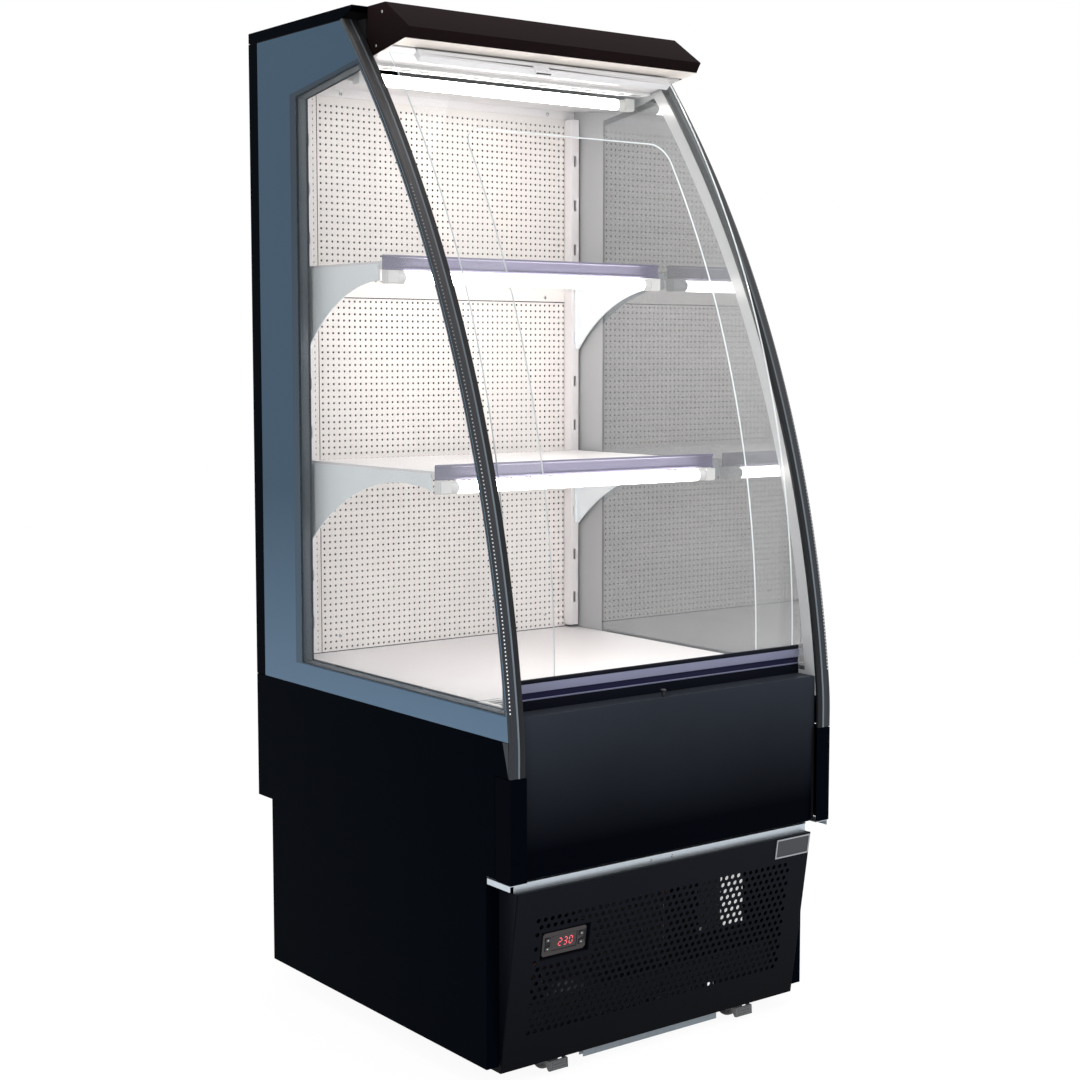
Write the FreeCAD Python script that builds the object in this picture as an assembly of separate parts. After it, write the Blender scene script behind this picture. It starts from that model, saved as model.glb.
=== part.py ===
import FreeCAD, Part
import math
import os
from FreeCAD import Vector

# Open multideck display fridge on castors.
# X runs across the front, +Y points to the back and +Z up. The origin is on the floor,
# under the middle of the cabinet. "depth" is always measured from the foremost face.

os.makedirs("parts", exist_ok=True)

# ---------------------------------------------------------------- driving dimensions, mm
WIDTH = 600.0
DEPTH = 696.0
HEIGHT = 1511.0
HALF = WIDTH / 2
SHEET = 1.2                     # folded steel sheet

# side walls: two panes with a spacer between them
PANE = 4.0
SIDE_WALL = 25.0
INNER_FACE = HALF - SIDE_WALL   # inner face of a side wall
SIDE_GLASS_BOTTOM = 497.0
SIDE_GLASS_TOP = 1493.0
SIDE_GLASS_REAR = 668.0

# front edge of a side wall: a short blend, then one long arc leaning back
BLEND_START = 470.0
BLEND_RADIUS = 460.0
BLEND_ANGLE = 5.4
SWEEP_RADIUS = 1797.0
POST_THICKNESS = 5.0
POST_BOTTOM = 448.0
POST_TOP = 1495.0
POST_FOOT = 18.6                # depth of the wedge at a post's foot, at the top of the side panel
COVER_REACH = 36.0              # depth that the corner covers reach along the sides

# lower body
BASE_TOP = 496.0                # top edge of the black side panels
TUB_BOTTOM = 297.0              # underside of the insulated tub and of the rear step
MACHINE_FRONT = 57.0            # depth of the front edge of the lower side panels
MACHINE_REAR = 651.5
PANEL_BOTTOM = 34.0
FRONT_PANEL_DEPTH = 8.0
FRONT_PANEL_BOTTOM = 305.0
LEDGE_HEIGHT = 527.0
RAIL_DEPTH = 43.0
RAIL_TOP = 570.0
DECK_TOP = 535.0

# slanted grille in front of the machine compartment
GRILLE_HALF = 278.0
GRILLE_TOP = (15.0, 285.0)      # depth, height of the top front edge
GRILLE_BOTTOM = (55.0, 24.0)
GRILLE_RETURN = 92.0            # depth that its side returns reach, inside the side panels
HOLE_PITCH_X = 44.0
HOLE_PITCH_Z = 32.0
HOLE_WIDTH = 22.0

# display compartment
REAR_PANEL_DEPTH = 600.0
REAR_SEAMS = (-234.5, 258.8)    # upright seams between the sheets of the rear panel
REAR_LAP = 1099.5               # level seam between its upper and lower sheet
CEILING_FRONT = (446.0, 1413.0) # depth and height of the ceiling's front edge
CEILING_REAR = 1424.0
CEILING_FLANGE = 1411.0         # lower edge of its flange on the rear panel
ROOF_FOAM = 1450.0
UPRIGHT_X = (254.0, 270.0)
UPRIGHT_DEPTH = (580.0, 599.0)
UPRIGHT_SLOTS = [580.0 + 75.0 * i for i in range(11)]    # lower edges of the slots
SHELF_HALF = 264.0
UPPER_SHELF = (366.0, 1146.0)   # depth of the front edge, height of the top
LOWER_SHELF = (231.0, 845.0)
TUBE_RADIUS = 9.0

# clear curved guard with an arched cut-out
GUARD_HALF = 266.0
GUARD_THICKNESS = 3.0
GUARD_RADIUS = 1448.0
GUARD_CENTRE = (1495.0, 572.0)  # depth, height of the centre of its arc
GUARD_BOTTOM = 549.0
GUARD_TOP = 1442.0
GUARD_OPENING_HALF = 190.0
GUARD_OPENING_TOP = 1334.0
GUARD_CORNER_RADIUS = 28.0

# hood over the front, as an outline of depth and height
HOOD_HALF = 274.0
HOOD_REAR = 384.0
HOOD_RIDGE = (337.0, 1511.0)
HOOD_NOSE = (274.5, 1468.0)
HOOD_LIP = (284.5, 1453.5)
HOOD_SLOPE = (1438.7 - 1453.5) / (369.0 - 284.5)
SLOT_DEPTHS = (317.2, 323.2)    # slot in the underside of the hood for the blind
CAP_REAR = 369.0                # the end caps' lower edge stops here
SOFFIT_REAR = 392.0

# night blind: the bar swings on an arc that lies outside the clear guard
BLIND_RADIUS = 1465.0
BAR_HEIGHT = 1436.0             # height of the bar's centre when it is parked
BAR_SIZE = (12.0, 14.0)
BAR_HALF = 236.0
BLIND_X = -20.0                 # handle and catch sit here
ROLLER = (317.0, 1472.0)        # depth, height of the roller's axis
ROLLER_RADIUS = 15.3
ROLLER_HALF = 240.0

# castors
CASTOR_X = 178.0
CASTOR_DEPTHS = {"front": 110.0, "rear": 592.0}
WHEEL_RADIUS = 25.0
WHEEL_WIDTH = 20.0
CASTOR_TRAIL = 20.0
FRAME_BOTTOM = 72.0

# machine compartment
TRAY_HALF = 118.0
TRAY_BOTTOM = 12.0
TRAY_LIP_HALF = 128.0
CONDENSER_DEPTH = 98.0
FAN_CENTRE = (-62.0, 198.0)     # X and height of the condenser fan
FAN_RADIUS = 78.0
EVAPORATOR_FAN_CENTRE = (0.0, 432.0)
EVAPORATOR_FAN_RADIUS = 72.0
CONTROLLER_CENTRE = (-186.0, 178.0)   # X and distance up the slanted grille
BEZEL = (77.0, 35.0)


# ---------------------------------------------------------------- helpers
def at(x, depth, z):
    """A point given by its depth behind the foremost face."""
    return Vector(x, depth - DEPTH / 2, z)


def block(x0, x1, d0, d1, z0, z1):
    return Part.makeBox(x1 - x0, d1 - d0, z1 - z0, at(x0, d0, z0))


def wire(points):
    return Part.makePolygon(points + points[:1])


def prism(outline, x0, x1):
    """An outline of (depth, height) points, extruded across the cabinet."""
    face = Part.Face(wire([at(x0, d, z) for d, z in outline]))
    return face.extrude(Vector(x1 - x0, 0, 0))


def rod(start, end, radius):
    return Part.makeCylinder(radius, (end - start).Length, start, end - start)


def mirrored(shape):
    return shape.mirror(Vector(0, 0, 0), Vector(1, 0, 0))


def both_sides(shape):
    return [shape, mirrored(shape)]


def fused(shapes):
    return shapes[0].multiFuse(shapes[1:]).removeSplitter()


def folded(path, thickness, x0, x1):
    """A sheet bent along an open path of (depth, height) points, to the left of its direction."""
    normals = []
    for (d0, z0), (d1, z1) in zip(path, path[1:]):
        length = math.hypot(d1 - d0, z1 - z0)
        normals.append((-(z1 - z0) / length, (d1 - d0) / length))
    offset = []
    for i, (d, z) in enumerate(path):
        n0 = normals[max(i - 1, 0)]
        n1 = normals[min(i, len(normals) - 1)]
        scale = thickness / (1 + n0[0] * n1[0] + n0[1] * n1[1])
        offset.append((d + (n0[0] + n1[0]) * scale, z + (n0[1] + n1[1]) * scale))
    return prism(path + offset[::-1], x0, x1)


def polygon_ring(centre, radius, sides, turn=0.0):
    """Corner points of a regular polygon in the XZ plane."""
    return [Vector(centre[0] + radius * math.cos(turn + 2 * math.pi * i / sides), 0,
                   centre[1] + radius * math.sin(turn + 2 * math.pi * i / sides))
            for i in range(sides)]


def holed_face(outer, holes):
    """A flat face inside one wire and outside the others."""
    return Part.makeFace([outer] + holes, "Part::FaceMakerBullseye")


def flat_plate(outline, holes, thickness):
    """A plate in the XZ plane, from Y = 0 back to its thickness, with holes through it."""
    outer = wire([Vector(x, 0, z) for x, z in outline])
    return holed_face(outer, [wire(h) for h in holes]).extrude(Vector(0, thickness, 0))


def rectangle(x0, x1, z0, z1):
    return [(x0, z0), (x1, z0), (x1, z1), (x0, z1)]


def turned(base, axis, section, sides):
    """Faceted turning with a flat below; the section lists (distance along the axis, radius)."""
    angles = [2 * math.pi * (i + 0.5) / sides for i in range(sides)]
    rings = [[Vector(r * math.cos(a), r * math.sin(a), along) for a in angles] for along, r in section]
    faces = [Part.Face(wire(rings[0])), Part.Face(wire(rings[-1]))]
    for low, high in zip(rings, rings[1:]):
        for i in range(sides):
            k = (i + 1) % sides
            faces.append(Part.Face(wire([low[i], low[k], high[k], high[i]])))
    body = Part.Solid(Part.Shell(faces))
    if body.Volume < 0:
        body.reverse()
    body.Placement = FreeCAD.Placement(base, FreeCAD.Rotation(Vector(0, 0, 1), axis))
    return body


def bore(start, axis, length, radius, sides):
    """Cutter for a faceted hole that a pin of the given radius just fits."""
    corner = radius / math.cos(math.pi / sides)
    return turned(start, axis, [(0, corner), (length, corner)], sides)


def save(name, shapes):
    shapes = shapes if isinstance(shapes, list) else [shapes]
    solids = [s for shape in shapes for s in shape.Solids]
    part = solids[0] if len(solids) == 1 else Part.makeCompound(solids)
    part.exportStep("parts/" + name + ".step")


# ---------------------------------------------------------------- front curve of the side walls
class FrontCurve:
    """The side walls' front edge, moved back by an offset."""

    def __init__(self, offset):
        angle = math.radians(BLEND_ANGLE)
        self.offset = offset
        self.blend_centre = (BLEND_RADIUS, BLEND_START)
        self.blend_radius = BLEND_RADIUS - offset
        reach = SWEEP_RADIUS - BLEND_RADIUS
        self.centre = (BLEND_RADIUS + reach * math.cos(angle), BLEND_START - reach * math.sin(angle))
        self.radius = SWEEP_RADIUS - offset
        self.blend_top = BLEND_START + self.blend_radius * math.sin(angle)

    def depth(self, z):
        if z <= BLEND_START:
            return self.offset
        centre, radius = self.centre, self.radius
        if z < self.blend_top:
            centre, radius = self.blend_centre, self.blend_radius
        return centre[0] - math.sqrt(radius ** 2 - (z - centre[1]) ** 2)

    def edges(self, x, z0, z1):
        """Edges from height z0 up to z1."""
        stops = [z0] + [z for z in (BLEND_START, self.blend_top) if z0 < z < z1] + [z1]
        out = []
        for low, high in zip(stops, stops[1:]):
            ends = [at(x, self.depth(z), z) for z in (low, (low + high) / 2, high)]
            if high <= BLEND_START:
                out.append(Part.makeLine(ends[0], ends[2]))
            else:
                out.append(Part.Arc(*ends).toShape())
        return out


def closed_by(edges, points):
    """Close a chain of edges with straight lines through more points."""
    start, end = edges[0].Vertexes[0].Point, edges[-1].Vertexes[-1].Point
    chain = [end] + points + [start]
    lines = [Part.makeLine(a, b) for a, b in zip(chain, chain[1:])]
    return Part.Wire(edges + lines)


def curved_pane(x0, x1, offset, z0, z1, rear):
    front = FrontCurve(offset).edges(x0, z0, z1)
    outline = closed_by(front, [at(x0, rear, z1), at(x0, rear, z0)])
    return Part.Face(outline).extrude(Vector(x1 - x0, 0, 0))


# ---------------------------------------------------------------- side walls
WINDOW_BOTTOM = 533.0
WINDOW_REAR = 556.0
WINDOW_REAR_TOP = 1397.0
WINDOW_FRONT_TOP = 1426.0
WINDOW_FRONT_OFFSET = 16.0


def window_outline(x, grow):
    """Clear area of a side wall; its top edge rises towards the front."""
    top = WINDOW_FRONT_TOP + grow
    front = FrontCurve(WINDOW_FRONT_OFFSET - grow).edges(x, WINDOW_BOTTOM - grow, top)
    return closed_by(front, [at(x, WINDOW_REAR + grow, WINDOW_REAR_TOP + grow),
                             at(x, WINDOW_REAR + grow, WINDOW_BOTTOM - grow)])


def side_walls():
    outer = curved_pane(HALF - PANE, HALF, POST_THICKNESS + 0.5, SIDE_GLASS_BOTTOM,
                        SIDE_GLASS_TOP, SIDE_GLASS_REAR)
    inner = curved_pane(INNER_FACE, INNER_FACE + PANE, POST_THICKNESS + 0.5, SIDE_GLASS_BOTTOM,
                        SIDE_GLASS_TOP, SIDE_GLASS_REAR - 20)
    x = INNER_FACE + PANE
    spacer_face = holed_face(window_outline(x, 10), [window_outline(x, 0)])
    spacer = spacer_face.extrude(Vector(SIDE_WALL - 2 * PANE, 0, 0))
    save("outer_glass_right", outer)
    save("outer_glass_left", mirrored(outer))
    save("inner_glass", both_sides(inner))
    save("glass_spacers", both_sides(spacer))


def front_posts():
    """Curved trims that clip over the front edges of the side walls, each on a small wedge."""
    front = FrontCurve(0).edges(INNER_FACE, POST_BOTTOM, POST_TOP)
    back = FrontCurve(POST_THICKNESS).edges(INNER_FACE, POST_BOTTOM, POST_TOP)
    ends = [Part.makeLine(front[i].Vertexes[i].Point, back[i].Vertexes[i].Point) for i in (0, -1)]
    outline = Part.Wire(Part.__sortEdges__(front + back + ends))
    post = Part.Face(outline).extrude(Vector(SIDE_WALL, 0, 0))
    t = POST_THICKNESS
    wedge = prism([(t - 1, POST_BOTTOM), (t, POST_BOTTOM), (POST_FOOT, BASE_TOP), (t - 1, BASE_TOP)],
                  HALF - 16, HALF)
    save("front_posts", both_sides(fused([post, wedge])))


def corner_covers():
    """Folded black angles on the lower front corners."""
    width = 27.0
    z0, z1 = FRONT_PANEL_BOTTOM - 1, POST_BOTTOM - 1
    front = block(HALF - width, HALF, 0, 1.6, z0, z1)
    side = block(HALF - 1.6, HALF, 0, COVER_REACH, z0, z1)
    save("corner_covers", both_sides(fused([front, side])))


# ---------------------------------------------------------------- outer skins
def side_panels():
    """Lower side skin, stepped at the back and slanted beside the post, with two returns."""
    x1 = HALF
    outline = [(MACHINE_FRONT, PANEL_BOTTOM), (MACHINE_REAR, PANEL_BOTTOM), (MACHINE_REAR, TUB_BOTTOM),
               (DEPTH, TUB_BOTTOM), (DEPTH, BASE_TOP), (POST_FOOT + 0.8, BASE_TOP),
               (POST_THICKNESS + 0.8, POST_BOTTOM), (COVER_REACH + 0.6, POST_BOTTOM),
               (COVER_REACH + 0.6, 306.0), (MACHINE_FRONT, 306.0)]
    skin = prism(outline, x1 - SHEET, x1)
    front = block(GRILLE_HALF + 1, x1, MACHINE_FRONT, MACHINE_FRONT + SHEET, PANEL_BOTTOM, 294.0)
    bottom = block(GRILLE_HALF + 3, x1, MACHINE_FRONT, MACHINE_REAR, PANEL_BOTTOM, PANEL_BOTTOM + SHEET)
    panel = fused([skin, front, bottom])
    save("side_panel_right", panel)
    save("side_panel_left", mirrored(panel))


def rear_and_roof_covers():
    flange = DEPTH - SIDE_GLASS_REAR - 1
    back = block(-HALF, HALF, DEPTH - SHEET, DEPTH, BASE_TOP + 1, SIDE_GLASS_TOP + 1)
    low = HALF - SHEET - 0.4
    apron = block(-low, low, DEPTH - SHEET, DEPTH, TUB_BOTTOM, BASE_TOP + 1)
    wing = block(HALF - SHEET, HALF, DEPTH - flange, DEPTH, BASE_TOP + 1, SIDE_GLASS_TOP + 1)
    save("rear_cover", fused([back, apron] + both_sides(wing)))
    edge = SIDE_GLASS_TOP + 2
    roof_front = HOOD_REAR + 1
    top = block(-HALF, HALF, roof_front, DEPTH, HEIGHT - SHEET, HEIGHT)
    side = prism([(roof_front, HEIGHT), (DEPTH, HEIGHT), (DEPTH, edge), (414.0, edge),
                  (roof_front, HEIGHT - 5)], HALF - SHEET, HALF)
    rear = block(-HALF, HALF, DEPTH - SHEET, DEPTH, edge, HEIGHT)
    save("roof_cover", fused([top, rear] + both_sides(side)))


# ---------------------------------------------------------------- insulation
def insulation():
    inner = INNER_FACE - 0.5
    roof = fused([block(-inner, inner, 390, DEPTH - 2, ROOF_FOAM, SIDE_GLASS_TOP + 1),
                  block(-HALF + 2, HALF - 2, 420, DEPTH - 2, SIDE_GLASS_TOP + 1, HEIGHT - 2)])
    save("roof_insulation", roof)
    back = block(-inner, inner, MACHINE_REAR - 1, DEPTH - 2, TUB_BOTTOM + 2, ROOF_FOAM - 1)
    save("back_insulation", back)
    outer = HALF - 2
    trough = block(-outer, outer, 11, MACHINE_REAR - 2, 307, BASE_TOP - 1)
    hollow = block(-inner, inner, RAIL_DEPTH, MACHINE_REAR, 341, BASE_TOP)
    nose = block(-inner, inner, 11, RAIL_DEPTH, BASE_TOP - 1, LEDGE_HEIGHT - 2)
    corners = [block(s * outer - 20, s * outer + 20, 0, 42, 300, BASE_TOP) for s in (-1, 1)]
    tub = trough.cut(hollow).cut(Part.makeCompound(corners)).fuse(nose).removeSplitter()
    save("tub_insulation", tub)


# ---------------------------------------------------------------- hood
def hood_underside(depth):
    return HOOD_LIP[1] + (depth - HOOD_LIP[0]) * HOOD_SLOPE


def hood():
    """Folded fascia with its end caps, and the sloped soffit behind the blind's slot."""
    path = [(SLOT_DEPTHS[0], hood_underside(SLOT_DEPTHS[0])), HOOD_LIP, HOOD_NOSE, HOOD_RIDGE,
            (HOOD_REAR, HEIGHT)]
    skin = folded(path, -1.5, -HOOD_HALF, HOOD_HALF)
    cap_outline = [HOOD_LIP, HOOD_NOSE, HOOD_RIDGE, (HOOD_REAR, HEIGHT), (HOOD_REAR, 1440.0),
                   (CAP_REAR, hood_underside(CAP_REAR))]
    cap = prism(cap_outline, HOOD_HALF - 1.5, HOOD_HALF)
    save("hood_fascia", fused([skin] + both_sides(cap)))
    inside = HOOD_HALF - 2
    soffit_path = [(SLOT_DEPTHS[1], 1449.0), (SLOT_DEPTHS[1], hood_underside(SLOT_DEPTHS[1])),
                   (SOFFIT_REAR, hood_underside(SOFFIT_REAR)),
                   (SOFFIT_REAR, hood_underside(SOFFIT_REAR) + 8)]
    save("hood_soffit", folded(soffit_path, 1.0, -inside, inside))


def air_discharge():
    """Slotted nozzle strip behind the soffit that lays the cold air curtain."""
    d0, d1, z0, z1 = SOFFIT_REAR + 1.5, SOFFIT_REAR + 31, 1430.0, 1440.0
    slots, half = 17, INNER_FACE - 4
    pitch = 2 * half / slots
    outline = [(-half, d0), (half, d0), (half, d1), (-half, d1)]
    holes = []
    for i in range(slots):
        x0 = -half + i * pitch + 2
        holes.append([at(x, d, z0) for x, d in ((x0, d0 + 4), (x0 + pitch - 4, d0 + 4),
                                                (x0 + pitch - 4, d1 - 4), (x0, d1 - 4))])
    face = holed_face(wire([at(x, d, z0) for x, d in outline]), [wire(h) for h in holes])
    save("air_discharge", face.extrude(Vector(0, 0, z1 - z0)))


# ---------------------------------------------------------------- display compartment
def ceiling_panel():
    """False ceiling that falls towards the front, with a hem and a flange on the rear panel."""
    half, (front, low) = INNER_FACE - 1, CEILING_FRONT
    rear = REAR_PANEL_DEPTH - 1.5
    path = [(front, low + 13), (front, low), (rear, CEILING_REAR), (rear, CEILING_FLANGE)]
    save("ceiling_panel", folded(path, 1.0, -half, half))


def rear_panel():
    """Perforated duct cover in four sheets; its holes spread the cold air over the shelves."""
    half, gap, columns, pitch = INNER_FACE - 1, 0.8, 4, 118.0
    left, right = REAR_SEAMS
    bottom, top = DECK_TOP + 1, CEILING_FLANGE + 9
    plates = []
    for z0, z1, rows in ((bottom, REAR_LAP - gap, 4), (REAR_LAP + gap, top, 2)):
        holes = []
        for i in range(columns):
            for k in range(rows):
                centre = ((left + right) / 2 + pitch * (i - 1.5), z1 - 80 - pitch * k)
                holes.append(polygon_ring(centre, 13, 4, math.pi / 4))
        plates.append(flat_plate(rectangle(left + gap, right - gap, z0, z1), holes, 1.0))
    plates.append(flat_plate(rectangle(-half, left - gap, bottom, top), [], 1.0))
    plates.append(flat_plate(rectangle(right + gap, half, bottom, top), [], 1.0))
    for plate in plates:
        plate.translate(at(0, REAR_PANEL_DEPTH, 0))
    save("rear_panel", plates)


def shelf_uprights():
    """Slotted channels that the shelf brackets hook into."""
    x0, x1 = UPRIGHT_X
    d0, d1 = UPRIGHT_DEPTH
    z0, z1 = DECK_TOP + 5, CEILING_FLANGE - 2
    slots = []
    for low in UPRIGHT_SLOTS:
        slots.append([Vector(x, 0, z) for x, z in rectangle(x0 + 5.5, x1 - 5.5, low, low + 18)])
    face = flat_plate(rectangle(x0, x1, z0, z1), slots, 1.5)
    face.translate(at(0, d0, 0))
    webs = [block(x, x + 1.5, d0, d1, z0, z1) for x in (x0, x1 - 1.5)]
    save("shelf_uprights", both_sides(fused([face] + webs)))


def shelf_tray(front, top):
    """Folded shelf: flat top, turned-down edges with a hemmed front."""
    rear = UPRIGHT_DEPTH[0] - 1
    plate = block(-SHELF_HALF, SHELF_HALF, front, rear, top - SHEET, top)
    lips = [block(-SHELF_HALF, SHELF_HALF, front, front + SHEET, top - 12, top),
            block(-SHELF_HALF, SHELF_HALF, rear - SHEET, rear, top - 20, top)]
    side = block(SHELF_HALF - SHEET, SHELF_HALF, front, rear, top - 12, top)
    ribs = [block(x - 12, x + 12, front + 20, rear - 20, top - 8, top - SHEET) for x in (-130, 130)]
    return fused([plate] + lips + both_sides(side) + ribs)


def shelf_bracket(front, top, knee):
    """Cantilever bracket with a concave lower edge; its hooks sit on the edges of two slots."""
    thickness, drop = 2.5, 126.0
    x0 = SHELF_HALF + 0.8
    rear = UPRIGHT_DEPTH[0]
    edge = Part.Arc(at(x0, rear - 6, top - drop), at(x0, *knee), at(x0, front + 3, top - 28)).toShape()
    outline = closed_by([edge], [at(x0, front + 8, top - 4), at(x0, rear, top - 4), at(x0, rear, top - drop)])
    plate = Part.Face(outline).extrude(Vector(thickness, 0, 0))
    foot = block(x0 - 4.8, x0 + thickness, rear - 4, rear - 1.5, top - drop, top - 21)
    hooks = []
    for z in UPRIGHT_SLOTS:
        if top - drop < z < top - 30:
            hook = [(rear - 4, z), (rear + 1.7, z), (rear + 1.7, z - 8), (rear + 6, z - 8), (rear + 6, z + 8),
                    (rear - 4, z + 8)]
            hooks.append(prism(hook, x0 - 4.6, x0 - 2.4))
    return fused([plate, foot] + hooks)


def shelves():
    pieces = []
    for name, (front, top), knee in (("upper_shelf", UPPER_SHELF, (500.0, 1081.0)),
                                     ("lower_shelf", LOWER_SHELF, (470.0, 789.0))):
        save(name, shelf_tray(front, top))
        pieces += both_sides(shelf_bracket(front, top, knee))
    save("shelf_brackets", pieces)


def price_rail(front, top):
    """Extruded ticket strip: a hooked top bead, a flat face and a lower bead."""
    z1, z0 = top + 9, top - 13
    outline = [(front, z0 + 2), (front, z1 - 2), (front - 1.5, z1), (front - 3.5, z1),
               (front - 4, z1 - 3), (front - 2.5, z1 - 4), (front - 2.5, z0 + 4), (front - 4, z0 + 3),
               (front - 4, z0), (front - 1, z0)]
    return prism(outline, -SHELF_HALF, SHELF_HALF)


def light_tube(depth, z, half):
    """Tubular light with a socket at each end and a clip saddle over it."""
    tube = turned(at(-half, depth, z), Vector(1, 0, 0), [(0, TUBE_RADIUS), (2 * half, TUBE_RADIUS)], 16)
    socket = prism([(depth - 9, z - 9), (depth + 9, z - 9), (depth + 9, z + 10), (depth - 9, z + 10)],
                   half, half + 18)
    return [tube] + both_sides(socket)


def rails_and_lights():
    rails = [price_rail(front, top) for front, top in (UPPER_SHELF, LOWER_SHELF)]
    save("price_rails", rails)
    lights = []
    for front, top in (UPPER_SHELF, LOWER_SHELF):
        lights += light_tube(front - 3, top - 24, 243)
    lights += light_tube(434.0, 1416.5, 246)
    save("light_tubes", lights)


def base_deck():
    half = INNER_FACE - 2
    d0, d1 = 112.0, REAR_PANEL_DEPTH - 2
    plate = block(-half, half, d0, d1, DECK_TOP - SHEET, DECK_TOP)
    lips = [block(-half, half, d, d + SHEET, DECK_TOP - 22, DECK_TOP) for d in (d0, d1 - SHEET)]
    ledge = block(-half, half, d0 - 9, d0 + SHEET, 530.2, 531.7)
    save("base_deck", fused([plate, ledge] + lips))
    d0, d1, rows, half = 55.0, 111.0, 9, INNER_FACE - 3
    z0 = DECK_TOP - 3
    pitch = (2 * half - 10) / rows
    holes = []
    for i in range(rows):
        x = -half + 5 + i * pitch
        for low, high in ((d0 + 5, d0 + 24), (d0 + 29, d1 - 5)):
            holes.append([at(x + 3, low, z0), at(x + pitch - 3, low, z0),
                          at(x + pitch - 3, high, z0), at(x + 3, high, z0)])
    outline = [at(-half, d0, z0), at(half, d0, z0), at(half, d1, z0), at(-half, d1, z0)]
    grille = holed_face(wire(outline), [wire(h) for h in holes]).extrude(Vector(0, 0, 2))
    save("return_grille", grille)


def base_rail():
    """Front rail of the deck: foot, groove, ticket face, rounded lip and guard channel."""
    half, d, foot = INNER_FACE - 0.5, RAIL_DEPTH, LEDGE_HEIGHT + 0.2
    outline = [(d, foot), (d, 541.0), (d - 1, 542.0), (d - 1, 543.5), (d + 1, 544.0), (d + 1, 551.0),
               (d - 1, 552.0), (d - 1, 563.5), (d + 0.5, 564.0), (d - 0.5, 566.5), (d + 0.3, 569.0),
               (d + 2, RAIL_TOP), (d + 3.2, RAIL_TOP), (d + 3.2, 548.0), (d + 8.2, 548.0),
               (d + 8.2, 562.0), (d + 11, 562.0), (d + 11, 531.7), (d + 20, 531.7), (d + 20, 530.2),
               (d + 11, 530.2), (d + 11, foot)]
    save("base_rail", prism(outline, -half, half))


def front_panel():
    d, t = FRONT_PANEL_DEPTH, 1.2
    path = [(d + 30, FRONT_PANEL_BOTTOM), (d, FRONT_PANEL_BOTTOM), (d, LEDGE_HEIGHT),
            (RAIL_DEPTH + 11, LEDGE_HEIGHT)]
    half = INNER_FACE - 1
    panel = folded(path, -t, -half, half)
    notches = [block(s * half - 4, s * half + 4, 0, 34, 300, POST_BOTTOM) for s in (-1, 1)]
    save("front_panel", panel.cut(Part.makeCompound(notches)))


def clear_guard():
    """Bent acrylic sheet between the rail and the hood, with an arched opening."""
    def arc_depth(radius, z):
        if z <= GUARD_CENTRE[1]:
            return GUARD_CENTRE[0] - radius
        return GUARD_CENTRE[0] - math.sqrt(radius ** 2 - (z - GUARD_CENTRE[1]) ** 2)

    def face_edges(radius):
        low, mid = GUARD_CENTRE[1], (GUARD_CENTRE[1] + GUARD_TOP) / 2
        points = [at(-GUARD_HALF, arc_depth(radius, z), z) for z in (GUARD_BOTTOM, low, mid, GUARD_TOP)]
        return [Part.makeLine(points[0], points[1]), Part.Arc(*points[1:]).toShape()]

    outer = face_edges(GUARD_RADIUS)
    inner = face_edges(GUARD_RADIUS - GUARD_THICKNESS)
    ends = [Part.makeLine(outer[i].Vertexes[i].Point, inner[i].Vertexes[i].Point) for i in (0, -1)]
    outline = Part.Wire(Part.__sortEdges__(outer + inner + ends))
    sheet = Part.Face(outline).extrude(Vector(2 * GUARD_HALF, 0, 0))
    half, top, r = GUARD_OPENING_HALF, GUARD_OPENING_TOP, GUARD_CORNER_RADIUS
    bend = r * (1 - math.sqrt(0.5))
    low = GUARD_BOTTOM - 10
    corners = [Vector(-half, 0, low), Vector(-half, 0, top - r), Vector(-half + bend, 0, top - bend),
               Vector(-half + r, 0, top), Vector(half - r, 0, top), Vector(half - bend, 0, top - bend),
               Vector(half, 0, top - r), Vector(half, 0, low)]
    arch = Part.Wire([Part.makeLine(corners[0], corners[1]), Part.Arc(*corners[1:4]).toShape(),
                      Part.makeLine(corners[3], corners[4]), Part.Arc(*corners[4:7]).toShape(),
                      Part.makeLine(corners[6], corners[7]), Part.makeLine(corners[7], corners[0])])
    cutter = Part.Face(arch).extrude(Vector(0, DEPTH, 0))
    cutter.translate(Vector(0, -DEPTH / 2, 0))
    save("clear_guard", sheet.cut(cutter))


# ---------------------------------------------------------------- night blind
def blind_path(z, radius=BLIND_RADIUS):
    """Depth of the arc that the bar follows, concentric with the clear guard."""
    return GUARD_CENTRE[0] - math.sqrt(radius ** 2 - (z - GUARD_CENTRE[1]) ** 2)


def along_path(height, steps):
    """Turn (sideways, along) steps at a height of the path into (depth, height) points."""
    depth = blind_path(height)
    radial = ((depth - GUARD_CENTRE[0]) / BLIND_RADIUS, (height - GUARD_CENTRE[1]) / BLIND_RADIUS)
    tangent = (radial[1], -radial[0])
    return [(depth + radial[0] * a + tangent[0] * b, height + radial[1] * a + tangent[1] * b)
            for a, b in steps]


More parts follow.
